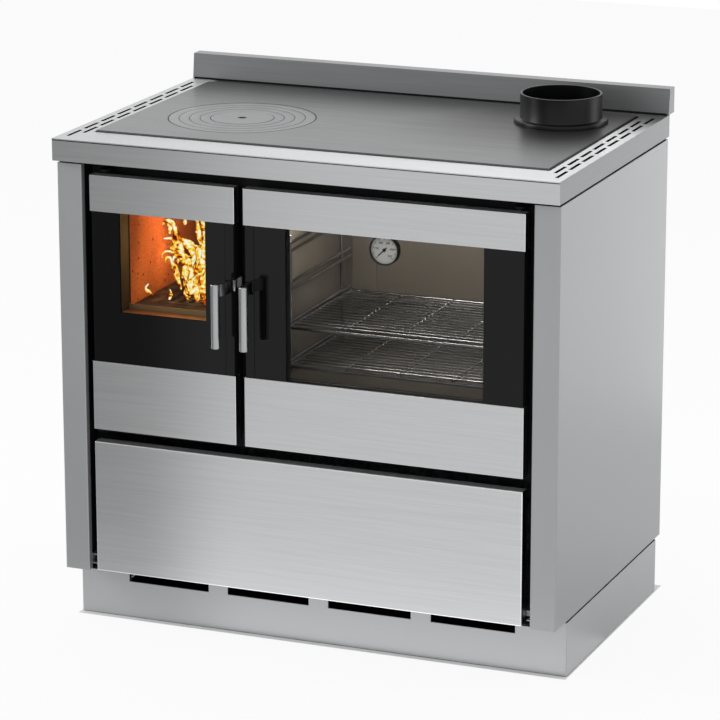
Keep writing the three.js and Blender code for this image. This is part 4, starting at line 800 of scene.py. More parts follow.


# Painted shade: the groove of the apron's seam, the cut edges of the air slots and of the hob's
# opening, and the cut edges of the base plate under the side panels are made black, so that they
# read as dark as the shade in them. The same black is the sealant of the splash guard's bead
sealant_and_painted_shade = black_paint("black_sealant_and_painted_shade", "#060606", 0.7, 1.5, gloss_share=0.1)
refinish(worktop, sealant_and_painted_shade, seam_or_cut_edge)
refinish(base_plate, sealant_and_painted_shade, lambda polygon: abs(polygon.normal.z) < 0.5)
# The turned-down ends are brushed from front to back and given a darker tone than the top: painted
# shade
WORKTOP_END = 446 * MM
painted_shade_end_steel = brushed_steel("painted_shade_end_stainless", "#a3a4a5", 0.5, along=1)
refinish(worktop, painted_shade_end_steel, lambda polygon: (
    abs(polygon.normal.x) > 0.9 and abs(polygon.center.x) > WORKTOP_END
    and not seam_or_cut_edge(polygon)
))

# ---------------------------------------------------------------- Splash guard
# Hollow stainless strip that stands along the back of the worktop and leans back a little. Its
# front face gets a darker steel as painted shade for the dark hob that it mirrors, and its top, rear
# and ends a less dark one, also painted shade
painted_shade_steel = brushed_steel("painted_shade_stainless_sheet", "#8e8f90", 0.46, along=0)
splash = lay_grain(
    folded("splash_guard", brushed_along_x, "root", sheet=1.5, bend=1.4),
)
refinish(splash, painted_shade_steel, lambda polygon: polygon.normal.y < -0.3)
refinish(splash, painted_shade_end_steel, lambda polygon: polygon.normal.y >= -0.3 and (
    polygon.normal.z > 0.9 or polygon.normal.y > 0.3 or abs(polygon.normal.x) > 0.9
))


def add_bead(shape, section, near, far, lengthwise):
    """A bead of sealant between two places along Y, or along X, from its section in millimetres."""
    ends = [
        [shape.verts.new(at(a, place, z) if lengthwise else at(place, a, z)) for a, z in section]
        for place in (near, far)
    ]
    skin(shape, ends)
    shape.faces.new(ends[0])
    shape.faces.new(ends[1])


# A bead of black heat-resistant sealant closes the joint along the splash guard's foot
bead = bmesh.new()
BEAD_FACE, BEAD_REAR, BEAD_FOOT, BEAD_TOP = 561.5, 567, 858, 860.6
FOOT_BEAD = (
    (BEAD_FACE, BEAD_FOOT), (BEAD_FACE + 0.4, BEAD_FOOT + 1.2), (BEAD_FACE + 1.6, BEAD_TOP - 0.5),
    (BEAD_FACE + 3.4, BEAD_TOP), (BEAD_REAR, BEAD_TOP), (BEAD_REAR, BEAD_FOOT),
)
add_bead(bead, FOOT_BEAD, -446, 446, lengthwise=False)
finish("splash_guard_sealant_bead", bead, sealant_and_painted_shade, "root", degrees=50)

# A black strip fills the gap between each side panel and the plinth, 1 mm behind their faces:
# painted shade in that gap
GAP_SHADE_SECTION = (
    (444.4, 95.0), (446.0, 95.0), (446.4, 95.8), (446.5, 96.8), (446.4, 97.8), (446.0, 98.6),
    (444.4, 98.6),
)
for side, name in ((1, "right"), (-1, "left")):
    gap_shade = bmesh.new()
    add_bead(gap_shade, [(side * x, z) for x, z in GAP_SHADE_SECTION], 75, 548, lengthwise=True)
    finish(f"plinth_gap_shade_strip_{name}", gap_shade, sealant_and_painted_shade, "root", degrees=50)

# ---------------------------------------------------------------- Hob plate, rings and centre disc
# Ground rolled-steel plate, 8 mm thick. Four loose rings and a disc sit on stepped ledges and lift
# out with a hook for a pan to stand in the fire

# Ground steel: a grey, slightly oily surface with fine grinding lines and faint heat clouds. Round
# the flue and along the rear edge it is darkened as a painted reflection of the black collar and the
# splash guard
COLLAR_X, COLLAR_Y, COLLAR_BORE = 299.5, 435, 66
ground_hob_steel, tree, surface = new_material("ground_hob_steel")
place = add_node(tree, "TexCoord")["Object"]
stretched = add_node(tree, "Mapping", Vector=place, Scale=(6, 700, 700))
lines = add_node(tree, "TexNoise", Vector=stretched[0], Scale=1, Detail=3)
clouds = add_node(tree, "TexNoise", Vector=place, Scale=6, Detail=4)
tone = add_node(
    tree, "Mix", data_type="RGBA", Factor=clouds["Fac"], _6=linear("#797a7b"), _7=linear("#848586"),
)
from_flue = add_node(
    tree, "VectorMath", operation="DISTANCE", _0=place, _1=at(COLLAR_X, COLLAR_Y, 861),
)
near_flue = add_node(
    tree, "MapRange", interpolation_type="SMOOTHSTEP",
    Value=from_flue["Value"], _1=0.06, _2=0.34, _3=0.85, _4=0.0,
)
plan = add_node(tree, "SeparateXYZ", Vector=place)
near_rear = add_node(
    tree, "MapRange", interpolation_type="SMOOTHSTEP",
    Value=plan["Y"], _1=0.02, _2=0.27, _3=0.0, _4=0.7,
)
# Painted reflection: darker round the collar and towards the rear
painted_dark_reflection = add_node(tree, "Math", operation="MAXIMUM", _0=near_flue[0], _1=near_rear[0])
tone = add_node(
    tree, "Mix", data_type="RGBA", Factor=painted_dark_reflection[0], _6=tone["Result"], _7=linear("#414040"),
)
# Painted shade: the steel is darkened at the joints between the rings, most of all round the outer
# one, and round the hook slot
HOB_TOP, HOB_BOTTOM, HOB_LEDGE = 861, 853, 857
RINGS_X, RINGS_Y = -217, 261
RING_EDGES = (127, 108.5, 90.5, 72.5, 55)
RING_PLAY, LEDGE_WIDTH, LEDGE_PLAY = 0.5, 6, 0.3
from_rings = add_node(
    tree, "VectorMath", operation="DISTANCE", _0=place, _1=at(RINGS_X, RINGS_Y, HOB_TOP),
)
darkening = 0.0
# Each joint: its radius and half width in millimetres, and how dark its painted shade is
HOOK_SLOT_SHADE = (0.4, 8, 0.97)
JOINTS = [(RING_EDGES[0], 1.3, 0.95), HOOK_SLOT_SHADE]
JOINTS += [(radius, 0.6, 0.5) for radius in RING_EDGES[1:]]
for radius, half_width, cover in JOINTS:
    in_joint = add_node(
        tree, "Math", operation="COMPARE",
        _0=from_rings["Value"], _1=(radius - 0.4) * MM, _2=half_width * MM,
    )
    in_joint = add_node(tree, "Math", operation="MULTIPLY", _0=in_joint[0], _1=cover)
    darkening = add_node(tree, "Math", operation="MAXIMUM", _0=darkening, _1=in_joint[0])[0]
# Inside the outer ring the pans keep the steel a little brighter
worn = add_node(tree, "Math", operation="LESS_THAN", _0=from_rings["Value"], _1=RING_EDGES[0] * MM)
worn = add_node(tree, "Math", operation="MULTIPLY", _0=worn[0], _1=0.6)
tone = add_node(
    tree, "Mix", data_type="RGBA", Factor=worn[0], _6=tone["Result"], _7=linear("#979899"),
)
tone = add_node(tree, "Mix", data_type="RGBA", Factor=darkening, _6=tone["Result"], _7=linear("#0c0b0b"))
gloss = add_node(tree, "MapRange", Value=lines["Fac"], _1=0.3, _2=0.7, _3=0.3, _4=0.42)
relief = add_node(tree, "Bump", Strength=0.06, Distance=0.0002, Height=lines["Fac"])
shader = add_node(
    tree, "BsdfPrincipled",
    Base_Color=tone["Result"], Metallic=0.9, Roughness=gloss[0], Normal=relief[0],
)
tree.links.new(shader[0], surface)


def ring_profile(inner, outer):
    """A loose ring in section: a step down inside for the next ring, a step under it outside."""
    rim, step = outer - RING_PLAY, HOB_LEDGE + LEDGE_PLAY
    return [
        (inner - LEDGE_WIDTH, HOB_BOTTOM), (rim - LEDGE_WIDTH, HOB_BOTTOM),
        (rim - LEDGE_WIDTH, step), (rim, step),
        (rim, HOB_TOP - 0.5), (rim - 0.2, HOB_TOP - 0.15), (rim - 0.6, HOB_TOP),
        (inner + 0.6, HOB_TOP), (inner + 0.2, HOB_TOP - 0.15), (inner, HOB_TOP - 0.5),
        (inner, HOB_LEDGE), (inner - LEDGE_WIDTH, HOB_LEDGE),
    ]


def circle_at(x, y, radius, count):
    """Points round a circle in plan, in millimetres."""
    return [(x + px, y + py) for px, py in circle_points(radius, count)]


def rectangle(x, y):
    """The corners of a rectangle in plan, from its limits in X and Y."""
    return [(x[0], y[0]), (x[1], y[0]), (x[1], y[1]), (x[0], y[1])]


def add_cut_plate(shape, *levels):
    """A plate between two levels: each is a height, an outline and the outlines of its holes."""
    skins = []
    for z, *outlines in levels:
        loops = [[shape.verts.new(at(x, y, z)) for x, y in outline] for outline in outlines]
        edges = [
            shape.edges.new((loop[k], loop[(k + 1) % len(loop)]))
            for loop in loops for k in range(len(loop))
        ]
        bmesh.ops.triangle_fill(shape, edges=edges, use_beauty=True)
        skins.append(loops)
    for wall in zip(*skins):
        skin(shape, wall)


# The plate is built from three layers: its eased top edge, its body and the ledge for the rings
plate = bmesh.new()
HOB_LEFT, HOB_RIGHT, HOB_FRONT, HOB_REAR, EASE = -404, 404, 76, 532, 0.5
whole = rectangle((HOB_LEFT, HOB_RIGHT), (HOB_FRONT, HOB_REAR))
trimmed = rectangle((HOB_LEFT + EASE, HOB_RIGHT - EASE), (HOB_FRONT + EASE, HOB_REAR - EASE))
flue_hole = circle_at(COLLAR_X, COLLAR_Y, COLLAR_BORE, 128)
for edge, radius, bottom, top in (
    (trimmed, RING_EDGES[0], HOB_TOP - EASE, HOB_TOP),
    (whole, RING_EDGES[0], HOB_LEDGE, HOB_TOP - EASE),
    (whole, RING_EDGES[0] - LEDGE_WIDTH, HOB_BOTTOM, HOB_LEDGE),
):
    cuts = (edge, circle_at(RINGS_X, RINGS_Y, radius, 128), flue_hole)
    add_cut_plate(plate, (bottom, *cuts), (top, *cuts))
finish("hob_plate_ground", plate, ground_hob_steel, "root", ["hob_plate"])

for index, outer in enumerate(RING_EDGES[:-1]):
    ring = bmesh.new()
    profile = ring_profile(RING_EDGES[index + 1], outer)
    add_turned(ring, profile, at(RINGS_X, RINGS_Y, 0), 128, ring=True)
    name = f"hob_ring_{index + 1}"
    finish(name + "_ground", ring, ground_hob_steel, name, [name])

# The disc steps in below, like the rings, and has a slot for the hook in its middle
disc = bmesh.new()
rim, step = RING_EDGES[-1] - RING_PLAY, HOB_LEDGE + LEDGE_PLAY
hook_slot = rectangle((RINGS_X - 6, RINGS_X + 6), (RINGS_Y - 3, RINGS_Y + 3))
for radius, bottom, top, chamfer in (
    (rim - LEDGE_WIDTH, HOB_BOTTOM, step, 0), (rim, step, HOB_TOP, 0.4),
):
    add_cut_plate(
        disc, (bottom, circle_at(RINGS_X, RINGS_Y, radius, 96), hook_slot),
        (top, circle_at(RINGS_X, RINGS_Y, radius - chamfer, 96), hook_slot),
    )
finish(
    "hob_centre_disc_ground", disc, ground_hob_steel, "hob_centre_disc",
    ["hob_centre_disc"],
)

# ---------------------------------------------------------------- Flue collar
# Welded steel collar, painted black, with a flange that is screwed to the hob. A 140 mm flue pipe
# slides over it
collar_paint = black_paint("black_collar_paint", "#040405", 0.34, 1.2, gloss_share=0.3)
collar = bmesh.new()
COLLAR_PROFILE = [
    (66, 861.3), (80.5, 861.3), (80.5, 866.0), (79.9, 867.4), (78.4, 868.3), (72.4, 868.3),
    (70.8, 868.9), (70, 870.4), (70, 910.6), (69.4, 911.3), (66.6, 911.3), (66, 910.6),
]
add_turned(collar, COLLAR_PROFILE, at(COLLAR_X, COLLAR_Y, 0), 128, ring=True)
finish("flue_collar_turned", collar, collar_paint, "root", ["flue_collar"])

# ---------------------------------------------------------------- Log drawer
# A deep drawer on the floor of the casing: a brushed stainless front folded all round its edges,
# with a galvanised bin bolted behind it
drawer_front = lay_grain(
    folded("drawer_front", brushed_along_x, "drawer", sheet=1.5, bend=2.2),
)
folded("drawer_bin", galvanised, "drawer", sheet=2, bend=1.2)

# ---------------------------------------------------------------- Door bands
# Folded brushed stainless covers across the top and bottom of each door, gripping the glass
# Each cover is edged by a thin bright line: its outer bends get a lighter, smoother steel as a
# painted highlight
bend_highlight_steel = brushed_steel("painted_highlight_bend_steel", "#f2f3f4", 0.2, along=0)


def paint_bend_highlights(piece):
    """Gives the outer bends round a front sheet a lighter, smoother steel as a painted highlight."""
    front = min(polygon.center.y for polygon in piece.data.polygons)
    refinish(piece, bend_highlight_steel, lambda polygon: (
        -0.97 < polygon.normal.y < -0.15 and polygon.center.y < front + 2.5 * MM
    ))


paint_bend_highlights(drawer_front)
for door in ("fire", "oven"):
    for band in ("top", "lower"):
        paint_bend_highlights(lay_grain(folded(
            f"{door}_door_{band}_band", brushed_along_x, door + "_door",
            sheet=1.5, bend=2.0,
        )))

# ---------------------------------------------------------------- Door frames
# Cast frames behind the glass, with the stile that the handle turns in, painted black. The stile's
# face is enamelled in the same polished black as the glass
gloss_enamel = even_finish("gloss_black_stile_enamel", "#0c0c0d", 0.03, Specular_IOR_Level=0.22)
# The stile stands flush with the glass beside it, and the rest of the frame further back
STILE_FACE = (15.9 - FRONT_EDGE) * MM
for door in ("fire", "oven"):
    door_frame = eased(door + "_door_frame", heat_paint, door + "_door", 0.6)
    refinish(door_frame, gloss_enamel, lambda polygon: (
        polygon.normal.y < -0.9 and polygon.center.y < STILE_FACE
    ))
# On the oven door the channel for the seal is a strip of its own, spot-welded to the frame
eased("oven_door_seal_channel", heat_paint, "oven_door", 0.5)

# ---------------------------------------------------------------- Door glasses
# Ceramic stove glass, 4 mm thick, clamped between each door's bands. It is printed black from
# behind except for the view window

# Ceramic glass with a fired black print: the print is deep black under a polished surface
FIRE_VIEW = (-335, -177, 564, 760)
OVEN_VIEW = (-32, 317, 470, 760)


def glass_material(name, view, clear_share):
    """Glass that is black all over, except for a see-through window given in X and Z."""
    material, tree, surface = new_material(name)
    place = add_node(tree, "TexCoord")["Object"]
    axes = add_node(tree, "SeparateXYZ", Vector=place)
    inside = 1.0
    for axis, low, high in (("X", view[0], view[1]), ("Z", view[2], view[3])):
        offset = add_node(
            tree, "Math", operation="SUBTRACT", _0=axes[axis], _1=(low + high) / 2 * MM,
        )
        distance = add_node(tree, "Math", operation="ABSOLUTE", _0=offset[0])
        within = add_node(
            tree, "Math", operation="LESS_THAN", _0=distance[0], _1=(high - low) / 2 * MM,
        )
        inside = add_node(tree, "Math", operation="MULTIPLY", _0=inside, _1=within[0])[0]
    cover = add_node(tree, "MapRange", Value=inside, _3=1.0, _4=clear_share)
    shader = add_node(
        tree, "BsdfPrincipled", Base_Color=linear("#0c0c0d"), Roughness=0.03, IOR=1.5,
        Specular_IOR_Level=0.22, Alpha=cover[0],
    )
    tree.links.new(shader[0], surface)
    return material


for door, view in (("fire", FIRE_VIEW), ("oven", OVEN_VIEW)):
    glass = glass_material(f"printed_ceramic_glass_{door}", view, 0.16)
    eased(door + "_door_glass", glass, door + "_door", 0.6, segments=3)
inner_pane = glass_material("clear_inner_pane", (-200, 500, 300, 900), 0.08)
eased("oven_inner_glass", inner_pane, "oven_door", 0.5)

# ---------------------------------------------------------------- Door seals
# Braided glass-fibre rope glued into a channel round each door frame. It is squeezed a little
# flat where it meets the front frame

# Glass-fibre rope: grey yarns about 3 mm wide, plaited on the bias
sealing_rope, tree, surface = new_material("braided_glass_fibre_rope")
YARN_MM = 3
place = add_node(tree, "TexCoord")["Object"]
weave = []
for x, z in ((1, 1), (1, -1)):
    axis = add_node(tree, "VectorMath", operation="DOT_PRODUCT", _0=place, _1=(x, 0.6, z))
    phase = add_node(
        tree, "Math", operation="MULTIPLY", _0=axis["Value"], _1=2 * math.pi / (YARN_MM * MM),
    )
    weave.append(add_node(tree, "Math", operation="SINE", _0=phase[0])[0])
plait = add_node(tree, "Math", operation="MAXIMUM", _0=weave[0], _1=weave[1])
# The dips of the plait are darker: painted shade
shade = add_node(tree, "MapRange", Value=plait[0], _1=-0.6, _2=1.0)
tone = add_node(
    tree, "Mix", data_type="RGBA", Factor=shade[0], _6=linear("#3a3a39"), _7=linear("#74736f"),
)
relief = add_node(tree, "Bump", Strength=0.8, Distance=0.0008, Height=plait[0])
shader = add_node(
    tree, "BsdfPrincipled", Base_Color=tone["Result"], Roughness=0.95, Normal=relief[0],
)
tree.links.new(shader[0], surface)


def rounded_loop(x, z, radius, steps=8):
    """Points round a rectangle in X and Z with round corners, in millimetres."""
    corners = [
        (x[1] - radius, z[0] + radius, -90), (x[1] - radius, z[1] - radius, 0),
        (x[0] + radius, z[1] - radius, 90), (x[0] + radius, z[0] + radius, 180),
    ]
    points = []
    for centre_x, centre_z, start in corners:
        for k in range(steps + 1):
            angle = math.radians(start + 90 * k / steps)
            x_on, z_on = radius * math.cos(angle), radius * math.sin(angle)
            points.append((centre_x + x_on, centre_z + z_on))
    return points


def add_rope(shape, loop, y, half_width, half_depth, step_mm=4, bulge=0.25, facets=12):
    """A squeezed rope along a closed loop in X and Z; its width swells once for each plait."""
    fine = []
    for (x0, z0), (x1, z1) in zip(loop, loop[1:] + loop[:1]):
        count = max(1, round(math.hypot(x1 - x0, z1 - z0) / step_mm))
        fine += [(x0 + (x1 - x0) * k / count, z0 + (z1 - z0) * k / count) for k in range(count)]
    rows = []
    for k, (x, z) in enumerate(fine):
        before, after = fine[k - 1], fine[(k + 1) % len(fine)]
        along = Vector((after[0] - before[0], after[1] - before[1])).normalized()
        out = Vector((along.y, -along.x))
        swell = bulge * (k % 2)
        row = []
        for step in range(facets):
            turn = 2 * math.pi * step / facets
            # Squarer than an ellipse, as a rope is that has been squeezed
            wide, high = [
                math.copysign(abs(part) ** 0.7, part) for part in (math.cos(turn), math.sin(turn))
            ]
            side, deep = wide * (half_width - bulge + swell), high * half_depth
            row.append(shape.verts.new(at(x + out.x * side, y + deep, z + out.y * side)))
        rows.append(row)
    skin(shape, rows + rows[:1])


for door, x, z in (("fire", (-344, -168), (371, 750)), ("oven", (-70.5, 351.5), (462, 766))):
    rope = bmesh.new()
    add_rope(rope, rounded_loop(x, z, 9), 55.6, 5.9, 4.0)
    name = door + "_door_gasket"
    finish(name + "_rope", rope, sealing_rope, door + "_door", [name], degrees=80)

# ---------------------------------------------------------------- Fire window lining
# Folded stainless lining of the fire door's window, welded in behind the glass, with a raised
# sill. The fire has tinted it straw brown; its sides get a much darker copy of the steel as painted
# shade
heat_tinted_steel = brushed_steel("heat_tinted_stainless", "#b59c74", 0.5, along=0)
shaded_side_steel = brushed_steel("painted_shade_side_stainless", "#383a2f", 0.5, along=2)
trim = folded(
    "fire_window_trim", heat_tinted_steel, "fire_door",
    sheet=2, bend=1.2, convex=True,
)
refinish(trim, shaded_side_steel, lambda polygon: abs(polygon.normal.x) > 0.7)

# ---------------------------------------------------------------- Oven thermometer
# A bimetal dial fixed through the oven door's glass: black pressed rim, white enamelled dial with
# a printed scale, and a steel probe that reaches into the oven

# Gloss black enamel on the rim, and white enamel on the dial: smooth, with a faint warm tone
rim_enamel = even_finish("gloss_black_rim_enamel", "#101012", 0.22)
dial_enamel = even_finish("white_dial_enamel", "#e9e8e2", 0.35)

DIAL_X, DIAL_Z, DIAL_FRONT = 140.5, 714, 19.8
DIAL_PLACE = at(DIAL_X, DIAL_FRONT, DIAL_Z)
# Heights are counted back from the rim's front
HOUSING_PROFILE = [
    (0, -52), (2.6, -52), (3, -51.4), (3, -12.2), (24.6, -12), (26, -10.6), (26, -1.6),
    (25.2, -0.4), (24.2, 0), (23.4, -0.4), (23, -1.6), (23, -4), (0, -4),
]
DIAL_PROFILE = [(0, -4), (22.9, -4), (22.9, -3.4), (0, -3.4)]
housing = bmesh.new()
add_turned(housing, HOUSING_PROFILE, DIAL_PLACE, 96, turn=UPRIGHT)
finish("thermometer_housing", housing, rim_enamel, "oven_door", ["thermometer"])
face = bmesh.new()
add_turned(face, DIAL_PROFILE, DIAL_PLACE, 96, turn=UPRIGHT)
finish("thermometer_dial", face, dial_enamel, "oven_door")

# The scale: long and short strokes round the dial and numbers from 0 to 500
marks = bmesh.new()
SCALE_START, SCALE_SWEEP, SCALE_STEPS, SCALE_RADIUS = 225, 270, 50, 21.6
for step in range(SCALE_STEPS + 1):
    angle = math.radians(SCALE_START - SCALE_SWEEP * step / SCALE_STEPS)
    inner, width = (17.4, 0.75) if step % 5 == 0 else (19.6, 0.4)
    ray = Vector((math.cos(angle), math.sin(angle)))
    near, far, side = ray * inner, ray * SCALE_RADIUS, Vector((-ray.y, ray.x)) * width / 2
    stroke = [(p.x, p.y) for p in (near + side, far + side, far - side, near - side)]
    add_prism(marks, stroke, (-3.4, -3.3), DIAL_PLACE, UPRIGHT)
for index, number in enumerate(("0", "100", "200", "300", "400", "500")):
    angle = math.radians(SCALE_START - SCALE_SWEEP * index / 5)
    text = bpy.data.curves.new("scale_number", "FONT")
    text.body = number
    text.size = 5.4 * MM
    text.align_x, text.align_y = "CENTER", "CENTER"
    text.extrude = 0.05 * MM
    lettering = bpy.data.objects.new("scale_number", text)
    scene.collection.objects.link(lettering)
    bpy.context.view_layer.update()
    graph = bpy.context.evaluated_depsgraph_get()
    glyphs = bpy.data.meshes.new_from_object(lettering.evaluated_get(graph))
    spot = at(DIAL_X + 13.6 * math.cos(angle), DIAL_FRONT + 3.35, DIAL_Z + 13.2 * math.sin(angle))
    glyphs.transform(Matrix.Translation(spot) @ UPRIGHT)
    marks.from_mesh(glyphs)
    bpy.data.objects.remove(lettering)
    bpy.data.meshes.remove(glyphs)
finish("thermometer_scale", marks, rim_enamel, "oven_door")

# The needle is pressed sheet and points to the start of the scale
needle = bmesh.new()
NEEDLE_HALF = 0.35
needle_place = at(DIAL_X, 22.7 + NEEDLE_HALF, DIAL_Z)
start = math.radians(SCALE_START)
spin = [
    (math.cos(start) * x - math.sin(start) * y, math.sin(start) * x + math.cos(start) * y)
    for x, y in ((-6, -1.1), (12, -0.75), (17, 0), (12, 0.75), (-6, 1.1))
]
HUB_PROFILE = [(0, -0.4), (3, -0.4), (3, 0.3), (2.4, 0.8), (0, 0.9)]
add_prism(needle, spin, (-NEEDLE_HALF, NEEDLE_HALF), needle_place, UPRIGHT)
add_turned(needle, HUB_PROFILE, needle_place, 40, turn=UPRIGHT)
finish(
    "thermometer_needle_pressed", needle, rim_enamel, "thermometer_needle",
    ["thermometer_needle"],
)

# ---------------------------------------------------------------- Door handles
# A turned stainless rod screwed to a curved flat strap. The strap turns on a pin in the door's
# stile and ends in the latch

# Stainless rod, brushed along its length and polished lightly: soft upright highlights
satin_rod = brushed_steel(
    "satin_stainless_rod", "#b4b5b6", 0.28, along=2, scratch_mm=0.7, streak_mm=60,
    scratch_depth=0.004,
)
ROD_PROFILE = [
    (0, 532), (6.6, 532), (7.3, 532.25), (7.8, 532.8), (8, 533.6), (8, 640.4), (7.8, 641.2),
    (7.3, 641.75), (6.6, 642), (0, 642),
]
for door, x in (("fire", -140.5), ("oven", -89.5)):
    rod = bmesh.new()
    add_turned(rod, ROD_PROFILE, at(x, -27, 0), 72)
    body, name = door + "_handle", door + "_handle_rod"
    finish(name + "_turned", rod, satin_rod, body, [name])
    eased(door + "_handle_strap", satin_rod, body, 0.7, segments=3, degrees=45)

# ---------------------------------------------------------------- Hinges
# Laser-cut steel leaves welded to the front frame, painted with it. Each has a pin that the door
# frame drops onto
for door in ("fire", "oven"):
    for place in ("upper", "lower"):
        eased(f"{door}_hinge_{place}", heat_paint, "root", 0.5, degrees=45)

# ---------------------------------------------------------------- Logs and embers
# Three split beech logs burning on a bed of embers. They belong to the picture, not to the cooker,
# so they lie loose on the grate

# Charred beech: black checked crust on top, glowing through its cracks near the embers
charred_beech, tree, surface = new_material("charred_beech_log")
CHECK_MM = 9
place = add_node(tree, "TexCoord")["Object"]
stretched = add_node(tree, "Mapping", Vector=place, Scale=(1, 0.45, 1))
checks = add_node(
    tree, "TexVoronoi", feature="DISTANCE_TO_EDGE", Vector=stretched[0], Scale=1 / (CHECK_MM * MM),
)
crack = add_node(tree, "MapRange", Value=checks["Distance"], _1=0.0, _2=0.12, _3=1.0, _4=0.0)
heat = add_node(tree, "TexNoise", Vector=place, Scale=30, Detail=2)
glow = add_node(tree, "Math", operation="MULTIPLY", _0=crack[0], _1=heat["Fac"])
tone = add_node(
    tree, "Mix", data_type="RGBA", Factor=heat["Fac"], _6=linear("#16110e"), _7=linear("#4a3626"),
)
relief = add_node(tree, "Bump", Strength=0.8, Distance=0.0015, Height=checks["Distance"])
shader = add_node(
    tree, "BsdfPrincipled", Base_Color=tone["Result"], Roughness=0.9, Normal=relief[0],
    Emission_Color=linear("#ff6a1a"), Emission_Strength=glow[0],
)
tree.links.new(shader[0], surface)

BED_TOP = 556


def add_log(shape, start, end, radius, seed, facets=14, rings=18):
    """A split log between two points: a rounded wedge with an uneven bark side."""
    chance = random.Random(seed)
    along = end - start
    turn = along.to_track_quat("Z", "Y").to_matrix().to_4x4()
    move = Matrix.Translation(start) @ turn
    wobble = [chance.uniform(0.86, 1.06) for _ in range(facets)]
    rows = []
    for ring in range(rings + 1):
        share = ring / rings
        taper = min(1.0, 0.82 + 1.8 * min(share, 1 - share))
        row = []
        for k in range(facets):
            angle = 2 * math.pi * k / facets
            # The bark side is round and the split side lies closer in
            flat = 1.0 if k < facets * 0.55 else 0.62
            ripple = 1 + 0.05 * math.sin(share * 17 + k * 1.7 + seed)
            reach = radius * taper * wobble[k] * flat * ripple
            reach *= 1 + chance.uniform(-0.03, 0.03)
            spoke = (math.cos(angle) * reach * MM, math.sin(angle) * reach * MM)
            row.append(shape.verts.new(move @ Vector((*spoke, share * along.length))))
        rows.append(row)
    skin(shape, rows)
    shape.faces.new(rows[0][::-1])
    shape.faces.new(rows[-1])


logs = bmesh.new()
add_log(logs, at(-300, 205, BED_TOP + 24), at(-170, 330, BED_TOP + 28), 22, seed=3)
add_log(logs, at(-196, 150, BED_TOP + 22), at(-262, 390, BED_TOP + 26), 20, seed=8)
add_log(logs, at(-262, 190, BED_TOP + 58), at(-172, 352, BED_TOP + 66), 17, seed=5)
finish("burning_logs", logs, charred_beech, "root", degrees=50)

# Embers: broken charcoal 6 to 16 mm across, orange where the air reaches it and grey with ash
glowing_ember, tree, surface = new_material("glowing_charcoal_ember")
place = add_node(tree, "TexCoord")["Object"]
heat = add_node(tree, "TexNoise", Vector=place, Scale=55, Detail=3)
hot = add_node(tree, "MapRange", Value=heat["Fac"], _1=0.46, _2=0.66)
tone = add_node(
    tree, "Mix", data_type="RGBA", Factor=hot[0], _6=linear("#38322e"), _7=linear("#1c1410"),
)
strength = add_node(tree, "Math", operation="MULTIPLY", _0=hot[0], _1=1.4)
shader = add_node(
    tree, "BsdfPrincipled", Base_Color=tone["Result"], Roughness=0.9,
    Emission_Color=linear("#ff5a12"), Emission_Strength=strength[0],
)
tree.links.new(shader[0], surface)

embers = bmesh.new()
chance = random.Random(11)
for _ in range(90):
    x = chance.gauss(-225, 30)
    y = chance.gauss(250, 50)
    size = chance.uniform(5, 13)
    if not (-325 < x < -158 and 120 < y < 405):
        continue
    turn = Matrix.Rotation(chance.uniform(0, 6.28), 4, "Z")
    spot = Matrix.Translation(at(x, y, BED_TOP + size * 0.45)) @ turn
    lump = bmesh.ops.create_icosphere(embers, subdivisions=1, radius=size * MM, matrix=spot)
    centre = spot.translation
    for vert in lump["verts"]:
        offset = (vert.co - centre) * chance.uniform(0.7, 1.15)
        offset.z *= 0.5
        vert.co = centre + offset
finish("glowing_embers", embers, glowing_ember, "root", degrees=25)

# ---------------------------------------------------------------- Flames
# Tongues of flame that rise behind the fire window and curl over at their tips, with a few wisps
# torn off beside them

# Burning wood gas: almost white where it is thick, yellow to orange towards its edges
flame, tree, surface = new_material("burning_wood_gas")
facing = add_node(tree, "LayerWeight", Blend=0.5)
place = add_node(tree, "TexCoord")["Object"]
swirls = add_node(tree, "TexNoise", Vector=place, Scale=75, Detail=3, Distortion=1.6)
thinness = add_node(
    tree, "Math", operation="MULTIPLY_ADD", _0=swirls["Fac"], _1=3.0, _2=facing["Facing"],
)
share = add_node(tree, "MapRange", Value=thinness[0], _1=1.35, _2=2.45)
ramp = add_node(tree, "ValToRGB", Fac=share[0])
stops = ramp[0].node.color_ramp.elements
FLAME_TONES = (
    (0.0, "#fffde0"), (0.22, "#ffea50"), (0.42, "#ffb414"), (0.58, "#e0580c"), (0.76, "#551206"),
)
for position, tone in FLAME_TONES[1:-1]:
    stops.new(position)
for stop, (position, tone) in zip(stops, FLAME_TONES):
    stop.position, stop.color = position, linear(tone)
shader = add_node(
    tree, "BsdfPrincipled", Base_Color=linear("#000000"), Roughness=1.0, Specular_IOR_Level=0.0,
    Emission_Color=ramp[0], Emission_Strength=1.25,
)
tree.links.new(shader[0], surface)


def add_tongue(shape, root, length, width, lean, curl, seed, steps=30, facets=12):
    """A tongue of flame, in millimetres: its spine waves as it rises and its tip curls over."""
    chance = random.Random(seed)
    phase, waves = chance.uniform(0, 6.28), chance.uniform(0.8, 1.5)
    wave = chance.uniform(0.35, 0.7)
    spot = root.copy()
    rows = []
    for step in range(steps + 1):
        share = step / steps
        heading = lean + wave * math.sin(2 * math.pi * waves * share + phase) * share ** 0.5
        heading += curl * share ** 3
        rise = Vector((math.sin(heading), 0.15 * math.sin(phase + 4 * share), math.cos(heading)))
        spot = spot + rise * (length / steps * MM)
        girth = math.sin(math.pi * min(1, share ** 0.6)) ** 0.8 if 0 < share < 1 else 0
        girth *= 1 + 0.25 * math.sin(share * 13 + phase)
        across = Vector((math.cos(heading), 0, -math.sin(heading))) * width * girth * MM
        deep = Vector((0, 1, 0)) * width * 0.5 * girth * MM
        if girth < 0.03:
            rows.append([shape.verts.new(spot)] * facets)
            continue
        rows.append([
            shape.verts.new(spot + across * x + deep * y) for x, y in circle_points(1, facets)
        ])
    skin(shape, rows)


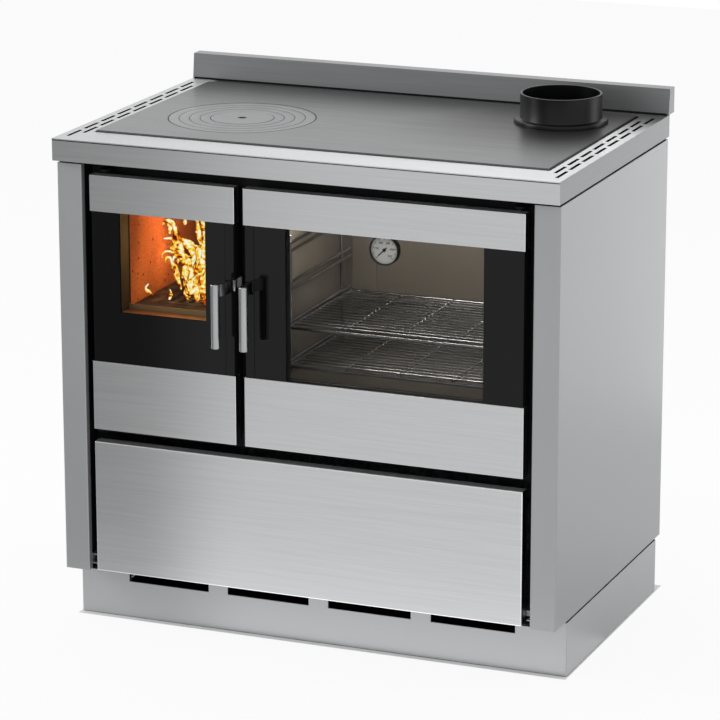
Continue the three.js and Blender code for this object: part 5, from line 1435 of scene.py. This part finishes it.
flames = bmesh.new()
chance = random.Random(4)
for seed in range(34):
    depth = chance.uniform(125, 215)
    # The fire stands where the window shows it: further left the deeper it is
    x = -262 - 0.45 * (depth - 150) + chance.gauss(0, 20)
    from_middle = abs(x + 262 + 0.45 * (depth - 150)) / 40
    length = chance.uniform(45, 150) * max(0.3, 1 - 0.5 * from_middle)
    add_tongue(
        flames, at(max(-318, x), depth, BED_TOP + 2 + 60 * chance.random() ** 2), length,
        chance.uniform(4, 11), chance.uniform(-0.35, 0.4),
        chance.choice((-1, 1)) * chance.uniform(1.0, 4.0), seed,
    )
# Six wisps torn off beside the fire, then six high tongues on the right, up to the window's top
for x, y, z, length, width, lean, curl, seed in (
    (-306, 150, 672, 26, 4, 0.3, -3.4, 41), (-300, 155, 640, 20, 6, 0.0, 3.2, 42),
    (-276, 150, 690, 30, 4, -0.2, 2.8, 43), (-330, 135, 566, 30, 3.2, -0.9, 2.2, 44),
    (-300, 130, 562, 22, 3.0, 0.6, -2.4, 45), (-250, 140, 700, 34, 5, 0.2, -2.8, 46),
    (-232, 150, 640, 96, 5.5, 0.12, -1.6, 61), (-244, 165, 650, 92, 6.0, -0.1, 1.9, 62),
    (-238, 140, 668, 78, 4.5, 0.2, 2.6, 63), (-256, 170, 640, 84, 5.0, 0.1, -2.4, 64),
    (-226, 175, 660, 84, 5.0, -0.2, 1.4, 65), (-250, 150, 700, 50, 3.6, 0.4, -3.0, 66),
):
    add_tongue(flames, at(x, y, z), length, width, lean, curl, seed)
fire = finish("flames", flames, flame, "root", degrees=80)
fire.visible_shadow = False


def glow_lamp(name, place, power, colour, radius):
    """A small warm lamp that stands for the light of the fire or the oven's surroundings."""
    light = bpy.data.lights.new(name, "POINT")
    light.energy = power
    light.color = linear(colour)[:3]
    light.shadow_soft_size = radius
    lamp = bpy.data.objects.new(name, light)
    scene.collection.objects.link(lamp)
    lamp.location = place
    lamp.visible_camera = False


glow_lamp("fire_glow", at(-258, 205, 628), 2.6, "#ffb27a", 0.035)
soft_box("oven_lamp", at(140, 76, 735), at(140, 385, 610), (0.38, 0.04), 1.7, "#fff6ec")
